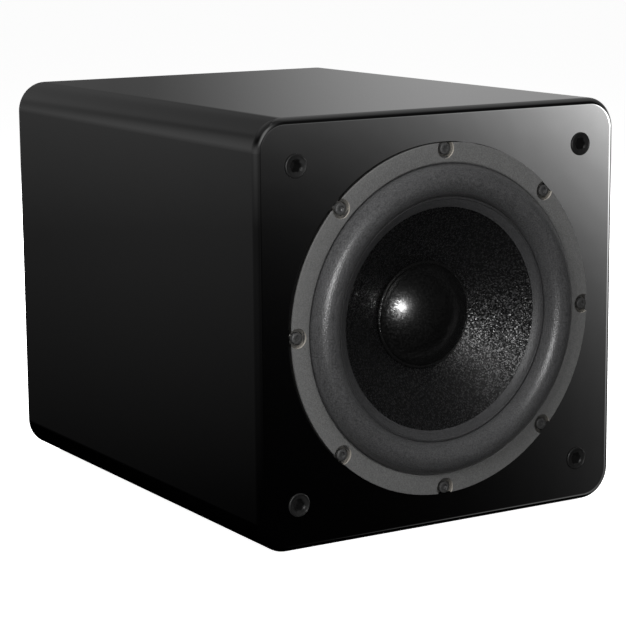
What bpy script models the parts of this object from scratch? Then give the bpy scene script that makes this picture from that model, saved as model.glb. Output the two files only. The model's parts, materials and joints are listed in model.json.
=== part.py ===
"""A sealed 12-inch powered subwoofer: lacquered cabinet, long-throw driver and plate amplifier.

Metres, +Z up, front facing -Y. The origin is on the floor under the middle of the object.
"""

import math

import bmesh
import bpy
from mathutils import Matrix, Vector

# Cabinet
WIDTH = 0.370
HEIGHT = 0.366
DEPTH = 0.468
LONG_EDGE_RADIUS = 0.028
FRONT_ROUNDOVER = 0.006
REAR_ROUNDOVER = 0.003
WALL = 0.022
PANEL = 0.018
INNER_CORNER_RADIUS = 0.010
FOOT_HEIGHT = 0.006
GAP = 0.0003  # between pieces that touch
EDGE = 0.0008  # what a glued edge is set in by
PROUD = 0.015  # the surround in front and the knobs behind both stand out this far
CORNER_STEPS = 6

FRONT_Y = -DEPTH / 2
REAR_Y = DEPTH / 2
AXIS_Z = FOOT_HEIGHT + HEIGHT / 2
INNER_WIDTH = WIDTH - 2 * WALL
INNER_HEIGHT = HEIGHT - 2 * WALL
FLOOR_Z = FOOT_HEIGHT + WALL

# Feet, screwed up into the cabinet's bottom
FOOT_RADIUS = 0.015
FOOT_SPREAD_X = 0.120
FOOT_INSET_Y = 0.055
STUD_RADIUS = 0.003
STUD_LENGTH = 0.012

# Grille sockets in the front's corners
SOCKET_X = 0.1465
SOCKET_Z = 0.143
SOCKET_FLANGE_RADIUS = 0.01025
SOCKET_BODY_RADIUS = 0.0079
SOCKET_DEPTH = 0.014
SOCKET_HOLE_DEPTH = 0.0113
SOCKET_HOLE_RADIUS = 0.0044
SOCKET_MOUTH_DEPTH = 0.0006
SOCKET_LIP = 0.0012  # the flange's lip stands out this far
SOCKET_PLAY = 0.0004

# Driver, with depths measured back from the cabinet's front face
RING_RADIUS = 0.1535
RING_INNER_RADIUS = 0.1362
RING_FRONT = -0.0034
RING_BACK = -0.0013
FLANGE_RADIUS = 0.1532
FLANGE_FRONT = -0.0010
FLANGE_BACK = 0.0038
REBATE_RADIUS = 0.1542
REBATE_DEPTH = 0.0055
CUTOUT_RADIUS = 0.1408
BOLT_COUNT = 8
BOLT_CIRCLE = 0.1483
BOLT_HEAD_RADIUS = 0.0050
BOLT_HEAD_HEIGHT = 0.0045
BOLT_HEAD_FRONT = -0.0030
BOLT_RADIUS = 0.0029
BOLT_HOLE_RADIUS = 0.0033
BOLT_LENGTH = 0.018
BOLT_HOLE_DEPTH = 0.0205
BASKET_OUTER_RADIUS = 0.1398
BASKET_INNER_RADIUS = 0.1340
BASKET_SHOULDER = 0.0200
BASKET_WALL = 0.0035
BASKET_BORE = 0.0400
FLANGE_STEP_RADIUS = 0.1416
FLANGE_STEP = 0.0005
SEAL_INNER_RADIUS = 0.1424
COUNTERBORE_RADIUS = 0.0062
COUNTERBORE_DEPTH = 0.0018
NOTCH_RADIUS = 0.0085
SKIN = 0.0012  # rubber of the surround
ROLL_MIDDLE = 0.1213
ROLL_HALF_WIDTH = 0.0134
ROLL_STEPS = 8
CONE_EDGE_RADIUS = 0.1065
CONE_SEEN_RADIUS = 0.0980
CONE_SEEN_DEPTH = 0.0045
CONE_SLOPE = math.radians(28.8)
CONE_THICKNESS = 0.0013
NECK_RADIUS = 0.0330
CAP_RADIUS = 0.0470
CAP_HEIGHT = 0.0200
CAP_THICKNESS = 0.0010
FORMER_RADIUS = 0.0320
FORMER_THICKNESS = 0.0006
FORMER_FRONT = 0.0385
FORMER_BACK = 0.1150
COIL_RADIUS = 0.0334
COIL_FRONT = 0.0805
COIL_BACK = 0.1145
SPIDER_DEPTH = 0.0600
SPIDER_WAVE = 0.0028
SPIDER_WAVES = 3
SPIDER_RADIUS = 0.0868
SPIDER_WAVES_END = 0.0770
SPIDER_FLAT = 0.0040
SPIDER_THICKNESS = 0.0008
LEDGE_DEPTH = 0.0612
LEDGE_BACK = 0.0645
LEDGE_RADIUS = 0.0918
LEDGE_SEAT_RADIUS = 0.0880
LEDGE_BORE = 0.0780
WINDOW_COUNT = 6
WINDOW_HALF_WIDTH = 0.036
WINDOW_FRONT = 0.0240
WINDOW_BACK = 0.0585
PLATE_FRONT = 0.0920
PLATE_THICKNESS = 0.0100
PLATE_RADIUS = 0.0720
PLATE_BORE = 0.0345
MAGNET_RADIUS = 0.0780
MAGNET_BORE = 0.0420
MAGNET_THICKNESS = 0.0300
POLE_RADIUS = 0.0300
POLE_VENT_RADIUS = 0.0100
BACK_PLATE_THICKNESS = 0.0120
TERMINAL_RADIUS = 0.0960
TERMINAL_HALF_WIDTH = 0.012
TERMINAL_HEIGHT = 0.008
TERMINAL_LENGTH = 0.010
LEAD_SPREAD = 0.007
LEAD_RADIUS = 0.0009
CABLE_RADIUS = 0.0025

# Amplifier, with distances measured out from the cabinet's rear face
AMP_WIDTH = 0.264
AMP_HEIGHT = 0.288
AMP_CORNER = 0.006
AMP_CUTOUT_WIDTH = 0.236
AMP_CUTOUT_HEIGHT = 0.260
SEAL_THICKNESS = 0.0009
AMP_BACK = 0.0015
AMP_FACE = 0.0045
ON_FACE = AMP_FACE + GAP
AMP_SCREW_X = 0.1250
AMP_SCREW_Z = 0.1370
AMP_SCREW_HEAD_RADIUS = 0.0040
AMP_SCREW_HEAD_HEIGHT = 0.0024
AMP_SCREW_RADIUS = 0.0019
AMP_SCREW_LENGTH = 0.0170
AMP_SCREW_HOLE_RADIUS = 0.0023
SINK_FINS = 17
SINK_FIN = 0.0022
SINK_PITCH = 0.0115
SINK_BASE = 0.0025
SINK_LOW = 0.022
SINK_HIGH = 0.126
KNOB_Z = -0.020
KNOBS = {"level_knob": -0.085, "crossover_knob": -0.035, "phase_knob": 0.015}
KNOB_RADIUS = 0.0110
KNOB_SHAFT_RADIUS = 0.0030
KNOB_HOLE_RADIUS = 0.0036
KNOB_SHAFT_END = -0.0120
KNOB_FLUTES = 8
KNOB_FLUTE_DEPTH = 0.0003
SWITCH_X = 0.0600
SWITCH_TRAVEL = 0.0040
SWITCH_NUB_WIDTH = 0.0076
SWITCH_NUB_HEIGHT = 0.0044
SWITCH_NUB_BACK = AMP_BACK - 0.0030
SWITCH_SLOT = (0.0120, 0.0052)
LED_X = 0.0880
LED_RADIUS = 0.0025
LED_BACK = -0.0040
SOCKET_ROW_Z = -0.080
INLET_X = 0.0330
ROCKER_X = 0.0850
ROCKER_TILT = math.radians(9)
ROCKER_HALF_LENGTH = 0.0100
ROCKER_HALF_WIDTH = 0.0064
ROCKER_RIDGE = 0.0020
ROCKER_HEEL = 0.0040
ROCKER_DEPTH = 0.0050
INLET_FLANGE = (0.0340, 0.0270)
INLET_BODY = (0.0282, 0.0202)
INLET_MOUTH = (0.0250, 0.0170)
INLET_FLOOR = -0.0130
INLET_PIN_HALF = (0.001, 0.002)
SWITCH_FLANGE = (0.0215, 0.0295)
SWITCH_BODY = (0.0172, 0.0252)
SWITCH_MOUTH = (0.0140, 0.0220)
SWITCH_FLOOR = -0.0080
HOUSING_BACK = -0.0180
HOUSING_LIP = 0.0018
HOUSING_PLAY = 0.0008
JACK_X = -0.0500
JACK_BLOCK = (0.0600, 0.0400)
JACK_BLOCK_THICKNESS = 0.0020
JACK_SPREAD = (0.017, 0.010)
JACK_RADIUS = 0.0042
JACK_BORE_RADIUS = 0.0017
JACK_END = PROUD - 0.0010
BOARD_Y = -0.0300
BOARD_THICKNESS = 0.0016
BOARD_SIZE = (0.1900, 0.1500)
BOARD_MIDDLE_Z = 0.0350
CONTROL_HALF = 0.007
CAN_RADIUS = 0.0125
CAN_LENGTH = 0.0400
CAN_CHAMFER = 0.0010
CAN_Z = 0.070
CANS = {"capacitor_left": -0.020, "capacitor_right": 0.010}
TRANSFORMER_PLACE = (-0.055, 0.140)
TRANSFORMER_RADIUS = 0.046
TRANSFORMER_BORE = 0.018
TRANSFORMER_HEIGHT = 0.036
TRANSFORMER_SOFT_EDGE = 0.008
CLAMP_RADIUS = 0.0300
CLAMP_THICKNESS = 0.0017
CLAMP_HEAD_RADIUS = 0.0060
CLAMP_HEAD_HEIGHT = 0.0040
CLAMP_BOLT_DEPTH = 0.0110

# Brace and lining
BRACE_WINDOW = (0.118, 0.116)
BRACE_WINDOW_SPREAD = (0.0745, 0.0735)
BRACE_WINDOW_CORNER = 0.020
WADDING_THICKNESS = 0.012

CLEAR = 0.005  # cutters run this far past what they cut


def material(name, colour, roughness, metallic=0.0):
    made = bpy.data.materials.new(name)
    made.use_nodes = True
    made.diffuse_color = (*colour, 1.0)
    shader = made.node_tree.nodes["Principled BSDF"]
    shader.inputs["Base Color"].default_value = (*colour, 1.0)
    shader.inputs["Roughness"].default_value = roughness
    shader.inputs["Metallic"].default_value = metallic
    return made


def new_object(name, bm, look, parent=None, place=(0, 0, 0), turn=(0, 0, 0)):
    """Turns a bmesh into a named, shaded object under its parent."""
    bmesh.ops.recalc_face_normals(bm, faces=bm.faces)
    mesh = bpy.data.meshes.new(name)
    bm.to_mesh(mesh)
    bm.free()
    mesh.shade_smooth()
    mesh.set_sharp_from_angle(angle=math.radians(35))
    return place_mesh(name, mesh, look, parent, place, turn)


def place_mesh(name, mesh, look, parent=None, place=(0, 0, 0), turn=(0, 0, 0)):
    made = bpy.data.objects.new(name, mesh)
    if not mesh.materials and look:
        mesh.materials.append(look)
    made.parent = parent
    made.location = place
    made.rotation_euler = turn
    bpy.context.scene.collection.objects.link(made)
    return made


def frame_of_reference(name, place, parent=None):
    made = bpy.data.objects.new(name, None)
    made.location = place
    made.parent = parent
    bpy.context.scene.collection.objects.link(made)
    return made


def ring_of(outline, depth):
    """A flat outline of (x, z) points, set at one depth along Y."""
    return [Vector((x, depth, z)) for x, z in outline]


def rounded_rectangle(width, height, radius, steps=CORNER_STEPS, centre=(0, 0)):
    points = []
    for quarter in range(4):
        middle = math.radians(45 + 90 * quarter)
        x = math.copysign(width / 2 - radius, math.cos(middle)) + centre[0]
        z = math.copysign(height / 2 - radius, math.sin(middle)) + centre[1]
        for step in range(steps + 1):
            angle = math.radians(90 * quarter + 90 * step / steps)
            points.append((x + radius * math.cos(angle), z + radius * math.sin(angle)))
    return points


def circle(radius, points, centre=(0, 0)):
    return wavy_circle(lambda angle: radius, points, centre)


def wavy_circle(radius_at, points, centre=(0, 0)):
    """A closed outline whose radius is a function of the angle."""
    angles = [math.tau * k / points for k in range(points)]
    return [
        (centre[0] + radius_at(a) * math.cos(a), centre[1] + radius_at(a) * math.sin(a))
        for a in angles
    ]


def add_loft(bm, rings, joined=False):
    """Skins a row of rings. The ends are capped, or joined to each other for a frame."""
    rows = [[bm.verts.new(point) for point in ring] for ring in rings]
    pairs = list(zip(rows, rows[1:]))
    if joined:
        pairs.append((rows[-1], rows[0]))
    else:
        bm.faces.new(rows[0])
        bm.faces.new(reversed(rows[-1]))
    count = len(rows[0])
    for first, second in pairs:
        for k in range(count):
            after = (k + 1) % count
            bm.faces.new((first[k], second[k], second[after], first[after]))


def loft(name, rings, look, joined=False, **where):
    bm = bmesh.new()
    add_loft(bm, rings, joined)
    return new_object(name, bm, look, **where)


def add_box(bm, low, high):
    corners = [(low[0], low[2]), (high[0], low[2]), (high[0], high[2]), (low[0], high[2])]
    add_loft(bm, [ring_of(corners, low[1]), ring_of(corners, high[1])])


def add_rod(bm, radius, start, end, points=16, centre=(0, 0)):
    """A round rod along Y."""
    outline = circle(radius, points, centre)
    add_loft(bm, [ring_of(outline, start), ring_of(outline, end)])


def turned_mesh(profile, segments):
    """Spins a profile of (radius, depth) points about Y. It is closed unless both ends lie on the axis."""
    bm = bmesh.new()
    points = [bm.verts.new((radius, depth, 0)) for radius, depth in profile]
    edges = [bm.edges.new(pair) for pair in zip(points, points[1:])]
    if profile[0][0] > 0 or profile[-1][0] > 0:
        edges.append(bm.edges.new((points[-1], points[0])))
    bmesh.ops.spin(
        bm, geom=points + edges, cent=(0, 0, 0), axis=(0, 1, 0), angle=math.tau, steps=segments
    )
    bmesh.ops.remove_doubles(bm, verts=bm.verts, dist=1e-6)
    return bm


def turned(name, profile, look, segments=32, **where):
    return new_object(name, turned_mesh(profile, segments), look, **where)


def tube_profile(inner, outer, front, back):
    return [(outer, front), (outer, back), (inner, back), (inner, front)]


def ribbon(line, thickness):
    """The outline of a sheet of even thickness that follows a line of (radius, depth) points."""
    sides = ([], [])
    for k, point in enumerate(line):
        before = Vector(line[max(k - 1, 0)])
        after = Vector(line[min(k + 1, len(line) - 1)])
        along = (after - before).normalized()
        across = Vector((-along.y, along.x)) * thickness / 2
        if point[0] == 0:
            across = Vector((0, across.y))
        sides[0].append(tuple(Vector(point) + across))
        sides[1].append(tuple(Vector(point) - across))
    return sides[0] + sides[1][::-1]


def cutter(name, bm, **where):
    made = new_object(name, bm, None, **where)
    made.hide_render = True
    made.display_type = "WIRE"
    return made


def combine(target, tool, operation="DIFFERENCE"):
    step = target.modifiers.new(tool.name, "BOOLEAN")
    step.operation = operation
    step.solver = "EXACT"
    step.object = tool


def around(count, radius, first=math.pi / 2):
    """(x, z) places spaced evenly on a circle, the first one at the top."""
    angles = [first + math.tau * k / count for k in range(count)]
    return [(radius * math.cos(a), radius * math.sin(a)) for a in angles]


def rods_cutter(name, places, radius, start, end, parent, points=10):
    bm = bmesh.new()
    for place in places:
        add_rod(bm, radius, start, end, points, place)
    return cutter(name, bm, parent=parent)


def socket_screw_mesh(head_radius, head_height, shaft_radius, shaft_length, points=12):
    """A hex-socket screw. Its head's face is at depth 0 and its shaft runs back along +Y."""
    chamfer = 0.1 * head_radius
    across = 0.5 * head_radius
    recess = 0.5 * head_height

    def hexagon(angle):
        return across / math.cos((angle + math.pi / 6) % (math.pi / 3) - math.pi / 6)

    rows = [
        ring_of(wavy_circle(hexagon, points), recess),
        ring_of(wavy_circle(hexagon, points), 0),
        ring_of(circle(head_radius - chamfer, points), 0),
        ring_of(circle(head_radius, points), chamfer),
        ring_of(circle(head_radius, points), head_height),
        ring_of(circle(shaft_radius, points), head_height),
        ring_of(circle(shaft_radius, points), head_height + shaft_length),
    ]
    bm = bmesh.new()
    add_loft(bm, rows)
    bmesh.ops.recalc_face_normals(bm, faces=bm.faces)
    mesh = bpy.data.meshes.new("socket_screw")
    bm.to_mesh(mesh)
    bm.free()
    mesh.shade_smooth()
    mesh.set_sharp_from_angle(angle=math.radians(35))
    return mesh


def wire(name, points, radius, look, parent=None):
    """A round wire through a few points, on a smooth curve with filled ends."""
    curve = bpy.data.curves.new(name, "CURVE")
    curve.dimensions = "3D"
    curve.bevel_depth = radius
    curve.bevel_resolution = 1
    curve.render_resolution_u = 0
    curve.use_fill_caps = True
    smooth = smooth_line([Vector(p) for p in points])
    spline = curve.splines.new("POLY")
    spline.points.add(len(smooth) - 1)
    for knot, point in zip(spline.points, smooth):
        knot.co = (*point, 1)
    curve.materials.append(look)
    made = bpy.data.objects.new(name, curve)
    made.parent = parent
    bpy.context.scene.collection.objects.link(made)
    return made


def smooth_line(points, steps=3):
    """Catmull-Rom points through the given ones."""
    ends = [points[0] * 2 - points[1]] + points + [points[-1] * 2 - points[-2]]
    line = []
    for a, b, c, d in zip(ends, ends[1:], ends[2:], ends[3:]):
        for k in range(steps):
            t = k / steps
            line.append(
                0.5
                * (2 * b + (c - a) * t + (2 * a - 5 * b + 4 * c - d) * t**2)
                + 0.5 * (3 * b - a - 3 * c + d) * t**3
            )
    return line + [points[-1]]


# ---------------------------------------------------------------- cabinet


def cabinet_rings():
    """Rings from the front face, over the outside, to the open back and in to the baffle's rear."""
    rings = []
    for step in range(5):
        angle = math.radians(90 * step / 4)
        inset = FRONT_ROUNDOVER * (1 - math.sin(angle))
        depth = FRONT_Y + FRONT_ROUNDOVER * (1 - math.cos(angle))
        rings.append(outer_ring(inset, depth))
    for step in range(3):
        angle = math.radians(90 * step / 2)
        inset = REAR_ROUNDOVER * (1 - math.cos(angle))
        depth = REAR_Y - REAR_ROUNDOVER * (1 - math.sin(angle))
        rings.append(outer_ring(inset, depth))
    inside = rounded_rectangle(
        INNER_WIDTH, INNER_HEIGHT, INNER_CORNER_RADIUS, centre=(0, AXIS_Z)
    )
    rings.append(ring_of(inside, REAR_Y))
    rings.append(ring_of(inside, FRONT_Y + WALL))
    return rings


def outer_ring(inset, depth):
    outline = rounded_rectangle(
        WIDTH - 2 * inset, HEIGHT - 2 * inset, LONG_EDGE_RADIUS - inset, centre=(0, AXIS_Z)
    )
    return ring_of(outline, depth)


def driver_cutout(parent):
    through = WALL + CLEAR
    profile = [
        (0, -CLEAR),
        (REBATE_RADIUS, -CLEAR),
        (REBATE_RADIUS, REBATE_DEPTH),
        (CUTOUT_RADIUS, REBATE_DEPTH),
        (CUTOUT_RADIUS, through),
        (0, through),
    ]
    return cutter("driver_cutout", turned_mesh(profile, 64), parent=parent)


def inner_panel_outline():
    return rounded_rectangle(
        INNER_WIDTH - 2 * GAP, INNER_HEIGHT - 2 * GAP, INNER_CORNER_RADIUS, 2
    )


def make_cabinet(driver, amplifier, looks):
    shell = loft("cabinet_shell", cabinet_rings(), looks["lacquer"])
    bolts = rods_cutter(
        "driver_bolt_holes",
        around(BOLT_COUNT, BOLT_CIRCLE),
        BOLT_HOLE_RADIUS,
        -CLEAR,
        BOLT_HOLE_DEPTH,
        driver,
    )
    sockets = rods_cutter(
        "grille_socket_holes",
        [(x, z) for x in (-SOCKET_X, SOCKET_X) for z in (-SOCKET_Z, SOCKET_Z)],
        SOCKET_BODY_RADIUS + SOCKET_PLAY,
        -CLEAR,
        SOCKET_DEPTH + SOCKET_PLAY,
        driver,
        16,
    )
    for tool in (driver_cutout(driver), bolts, sockets, stud_holes()):
        combine(shell, tool)

    front = WALL + GAP
    baffle = loft(
        "inner_baffle",
        [ring_of(inner_panel_outline(), front), ring_of(inner_panel_outline(), front + PANEL)],
        looks["board"],
        parent=driver,
    )
    hole = rods_cutter(
        "inner_baffle_hole", [(0, 0)], CUTOUT_RADIUS, 0, WALL + 2 * PANEL, driver, 40
    )
    combine(baffle, hole)

    opening = rounded_rectangle(AMP_CUTOUT_WIDTH, AMP_CUTOUT_HEIGHT, INNER_CORNER_RADIUS, 2)
    rear = loft(
        "rear_panel",
        [
            ring_of(inner_panel_outline(), 0),
            ring_of(inner_panel_outline(), -PANEL),
            ring_of(opening, -PANEL),
            ring_of(opening, 0),
        ],
        looks["lacquer"],
        joined=True,
        parent=amplifier,
    )
    make_brace(looks)
    make_wadding(looks)
    return bolts, rear


def stud_holes():
    """Blind holes in the cabinet's bottom for the feet and the transformer's bolt."""
    places = [(x, y, FOOT_HEIGHT - CLEAR, FOOT_HEIGHT + STUD_LENGTH) for x, y in foot_places()]
    bolt_end = FLOOR_Z - CLAMP_BOLT_DEPTH - GAP
    places.append((*TRANSFORMER_PLACE, bolt_end, FLOOR_Z + CLEAR))
    bm = bmesh.new()
    for x, y, low, high in places:
        turn = Matrix.Translation((x, y, 0)) @ Matrix.Rotation(math.pi / 2, 4, "X")
        outline = circle(STUD_RADIUS + GAP, 16)
        rings = [[turn @ point for point in ring_of(outline, depth)] for depth in (low, high)]
        add_loft(bm, rings)
    return cutter("stud_holes", bm)


def make_brace(looks):
    """The frame glued across the cabinet's middle, with four windows."""
    spread = BRACE_WINDOW_SPREAD
    brace = loft(
        "window_brace",
        [ring_of(inner_panel_outline(), 0), ring_of(inner_panel_outline(), PANEL)],
        looks["board"],
        place=(0, 0, AXIS_Z),
    )
    bm = bmesh.new()
    for x in (-spread[0], spread[0]):
        for z in (-spread[1], spread[1]):
            outline = rounded_rectangle(*BRACE_WINDOW, BRACE_WINDOW_CORNER, 3, (x, z))
            add_loft(bm, [ring_of(outline, -CLEAR), ring_of(outline, PANEL + CLEAR)])
    combine(brace, cutter("brace_windows", bm, place=(0, 0, AXIS_Z)))


def make_wadding(looks):
    """The fibre pad that lines both sides and the top in front of the brace."""
    thickness = WADDING_THICKNESS
    start = FRONT_Y + WALL + GAP + PANEL + GAP
    side = INNER_WIDTH / 2 - GAP
    inside = side - thickness
    top = INNER_HEIGHT / 2 - GAP
    corner = INNER_CORNER_RADIUS
    outline = [
        (-side, -top + corner),
        (-inside, -top + corner),
        (-inside, top - thickness),
        (inside, top - thickness),
        (inside, -top + corner),
        (side, -top + corner),
        (side, top - corner),
        (side - corner, top),
        (corner - side, top),
        (-side, top - corner),
    ]
    rings = [ring_of(outline, start), ring_of(outline, -GAP)]
    loft("wadding", rings, looks["wadding"], place=(0, 0, AXIS_Z))


def foot_places():
    rows = (FRONT_Y + FOOT_INSET_Y, REAR_Y - FOOT_INSET_Y)
    return [(x, y) for y in rows for x in (-FOOT_SPREAD_X, FOOT_SPREAD_X)]


def make_feet(looks):
    top = FOOT_HEIGHT - GAP
    chamfer = 0.001
    profile = [
        (0, 0),
        (FOOT_RADIUS - chamfer, 0),
        (FOOT_RADIUS, chamfer),
        (FOOT_RADIUS + chamfer, top),
        (STUD_RADIUS, top),
        (STUD_RADIUS, top + STUD_LENGTH - GAP),
        (0, top + STUD_LENGTH - GAP),
    ]
    names = ("front_left", "front_right", "rear_left", "rear_right")
    for name, (x, y) in zip(names, foot_places()):
        upright = (math.pi / 2, 0, 0)
        turned(f"foot_{name}", profile, looks["rubber"], 12, place=(x, y, 0), turn=upright)


def make_grille_sockets(driver, looks):
    """Plain sockets with a dished mouth. The dish stays clear of the flange's underside."""
    section = [
        (SOCKET_HOLE_RADIUS, SOCKET_HOLE_DEPTH),
        (SOCKET_HOLE_RADIUS, SOCKET_MOUTH_DEPTH),
        (0.80 * SOCKET_FLANGE_RADIUS, -0.75 * SOCKET_LIP),
        (0.92 * SOCKET_FLANGE_RADIUS, -SOCKET_LIP),
        (SOCKET_FLANGE_RADIUS, -0.80 * SOCKET_LIP),
        (SOCKET_FLANGE_RADIUS, -GAP),
        (SOCKET_BODY_RADIUS, -GAP),
        (SOCKET_BODY_RADIUS, SOCKET_DEPTH),
    ]
    rings = [ring_of(circle(radius, 12), depth) for radius, depth in section]
    for side, x in (("left", -SOCKET_X), ("right", SOCKET_X)):
        for level, z in (("top", SOCKET_Z), ("bottom", -SOCKET_Z)):
            name = f"grille_socket_{level}_{side}"
            loft(name, rings, looks["plastic"], parent=driver, place=(x, 0, z))


# ---------------------------------------------------------------- driver


def cone_depth(radius):
    """Depth of the middle of the cone's sheet."""
    return CONE_SEEN_DEPTH + (CONE_SEEN_RADIUS - radius) * math.tan(CONE_SLOPE)


def surround_line():
    """Lip under the trim ring, half roll, and the inner lip glued to the front of the cone."""
    base = FLANGE_FRONT + SKIN / 2
    height = PROUD + base - SKIN / 2
    line = [
        (FLANGE_STEP_RADIUS - GAP, base),
        (ROLL_MIDDLE + ROLL_HALF_WIDTH + EDGE, base),
    ]
    for step in range(ROLL_STEPS):
        angle = math.pi * step / ROLL_STEPS
        radius = ROLL_MIDDLE + ROLL_HALF_WIDTH * math.cos(angle)
        line.append((radius, base - height * math.sin(angle)))
    off_cone = (CONE_THICKNESS / 2 + SKIN / 2 + GAP) / math.cos(CONE_SLOPE)
    for radius in (CONE_EDGE_RADIUS - EDGE, CONE_SEEN_RADIUS):
        line.append((radius, cone_depth(radius) - off_cone))
    return line


def spider_line():
    start = FORMER_RADIUS + EDGE
    first = start + SPIDER_FLAT
    line = [(start, SPIDER_DEPTH), (first, SPIDER_DEPTH)]
    steps = 4 * SPIDER_WAVES
    for k in range(1, steps + 1):
        radius = first + (SPIDER_WAVES_END - first) * k / steps
        line.append((radius, SPIDER_DEPTH - SPIDER_WAVE * math.sin(math.tau * k / 4)))
    return line + [(SPIDER_RADIUS, SPIDER_DEPTH)]


def basket_profile():
    """Section of the cast frame: flange, sloping wall, spider ledge, lower wall, foot ring."""
    foot = PLATE_FRONT - GAP
    floor = foot - BASKET_WALL
    return [
        (FLANGE_RADIUS, FLANGE_FRONT),
        (FLANGE_RADIUS, FLANGE_BACK),
        (BASKET_OUTER_RADIUS, FLANGE_BACK),
        (BASKET_OUTER_RADIUS, BASKET_SHOULDER),
        (LEDGE_RADIUS, SPIDER_DEPTH),
        (LEDGE_RADIUS, LEDGE_BACK),
        (LEDGE_SEAT_RADIUS, LEDGE_BACK),
        (PLATE_RADIUS, floor),
        (PLATE_RADIUS, foot),
        (BASKET_BORE, foot),
        (BASKET_BORE, floor),
        (PLATE_RADIUS - BASKET_WALL, floor),
        (LEDGE_SEAT_RADIUS - BASKET_WALL, LEDGE_BACK),
        (LEDGE_BORE, LEDGE_BACK),
        (LEDGE_BORE, LEDGE_DEPTH),
        (LEDGE_SEAT_RADIUS, LEDGE_DEPTH),
        (LEDGE_SEAT_RADIUS, SPIDER_DEPTH - 0.001),
        (BASKET_INNER_RADIUS, BASKET_SHOULDER),
        (BASKET_INNER_RADIUS, FLANGE_STEP),
        (FLANGE_STEP_RADIUS, FLANGE_STEP),
        (FLANGE_STEP_RADIUS, FLANGE_FRONT),
    ]


def basket_windows(driver):
    """Openings between the cast frame's legs."""
    bm = bmesh.new()
    for k in range(WINDOW_COUNT):
        part = bmesh.new()
        low = (-WINDOW_HALF_WIDTH, WINDOW_FRONT, LEDGE_BORE)
        high = (WINDOW_HALF_WIDTH, WINDOW_BACK, FLANGE_RADIUS)
        add_box(part, low, high)
        spin = Matrix.Rotation(math.tau * k / WINDOW_COUNT, 4, "Y")
        part.transform(spin)
        scratch = bpy.data.meshes.new("window")
        part.to_mesh(scratch)
        part.free()
        bm.from_mesh(scratch)
        bpy.data.meshes.remove(scratch)
    return cutter("basket_windows", bm, parent=driver)


def make_frame_of_driver(driver, bolts, looks):
    basket = turned("driver_basket", basket_profile(), looks["casting"], 32, parent=driver)
    places = around(BOLT_COUNT, BOLT_CIRCLE)
    bores = rods_cutter(
        "counterbores", places, COUNTERBORE_RADIUS, -CLEAR, COUNTERBORE_DEPTH, driver, 12
    )
    for tool in (basket_windows(driver), bores, bolts):
        combine(basket, tool)

    ring = turned(
        "trim_ring",
        tube_profile(RING_INNER_RADIUS, RING_RADIUS, RING_FRONT, RING_BACK),
        looks["ring"],
        40,
        parent=driver,
    )
    combine(ring, rods_cutter("ring_notches", places, NOTCH_RADIUS, -CLEAR, CLEAR, driver, 12))

    seal = turned(
        "mounting_seal",
        tube_profile(SEAL_INNER_RADIUS, FLANGE_RADIUS, FLANGE_BACK + GAP, REBATE_DEPTH - GAP),
        looks["foam"],
        24,
        parent=driver,
    )
    combine(seal, bolts)

    screw = socket_screw_mesh(BOLT_HEAD_RADIUS, BOLT_HEAD_HEIGHT, BOLT_RADIUS, BOLT_LENGTH)
    for number, (x, z) in enumerate(places, start=1):
        place_mesh(
            f"driver_screw_{number}", screw, looks["black_steel"], driver, (x, BOLT_HEAD_FRONT, z)
        )


def make_suspension(driver, looks):
    turned("surround", ribbon(surround_line(), SKIN), looks["rubber"], 32, parent=driver)
    turned("spider", ribbon(spider_line(), SPIDER_THICKNESS), looks["cloth"], 20, parent=driver)


def make_cone_assembly(driver, looks):
    """Everything that travels with the voice coil, parented to one frame on the driver's axis."""
    moving = frame_of_reference("cone_assembly", (0, 0, 0), driver)
    sheet = [(radius, cone_depth(radius)) for radius in (NECK_RADIUS, CONE_EDGE_RADIUS)]
    turned("cone", ribbon(sheet, CONE_THICKNESS), looks["cone"], 32, parent=moving)
    turned("dust_cap", dust_cap_profile(), looks["cone"], 24, parent=moving)
    former = tube_profile(
        FORMER_RADIUS - FORMER_THICKNESS, FORMER_RADIUS, FORMER_FRONT, FORMER_BACK
    )
    turned("voice_coil_former", former, looks["former"], 24, parent=moving)
    winding = tube_profile(FORMER_RADIUS + GAP, COIL_RADIUS, COIL_FRONT, COIL_BACK)
    turned("voice_coil_winding", winding, looks["copper"], 24, parent=moving)


def dust_cap_profile():
    """A spherical cap whose rim sits just off the cone's face."""
    sphere = (CAP_RADIUS**2 + CAP_HEIGHT**2) / (2 * CAP_HEIGHT)
    rim = cone_depth(CAP_RADIUS) - (CONE_THICKNESS / 2 + CAP_THICKNESS + GAP)
    middle = rim - CAP_HEIGHT + sphere
    edge_angle = math.asin(CAP_RADIUS / sphere)
    steps = 5
    line = []
    for k in range(steps + 1):
        angle = edge_angle * k / steps
        line.append((sphere * math.sin(angle), middle - sphere * math.cos(angle)))
    return ribbon(line, CAP_THICKNESS)


def make_motor(driver, looks):
    plate_back = PLATE_FRONT + PLATE_THICKNESS
    magnet_front = plate_back + GAP
    magnet_back = magnet_front + MAGNET_THICKNESS
    yoke_front = magnet_back + GAP
    yoke_back = yoke_front + BACK_PLATE_THICKNESS
    turned(
        "top_plate",
        tube_profile(PLATE_BORE, PLATE_RADIUS, PLATE_FRONT, plate_back),
        looks["zinc"],
        parent=driver,
    )
    turned(
        "magnet",
        tube_profile(MAGNET_BORE, MAGNET_RADIUS, magnet_front, magnet_back),
        looks["ferrite"],
        parent=driver,
    )
    yoke = [
        (POLE_VENT_RADIUS, PLATE_FRONT),
        (POLE_RADIUS, PLATE_FRONT),
        (POLE_RADIUS, yoke_front),
        (PLATE_RADIUS, yoke_front),
        (PLATE_RADIUS, yoke_back),
        (POLE_VENT_RADIUS, yoke_back),
    ]
    turned("yoke", yoke, looks["zinc"], parent=driver)


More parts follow.
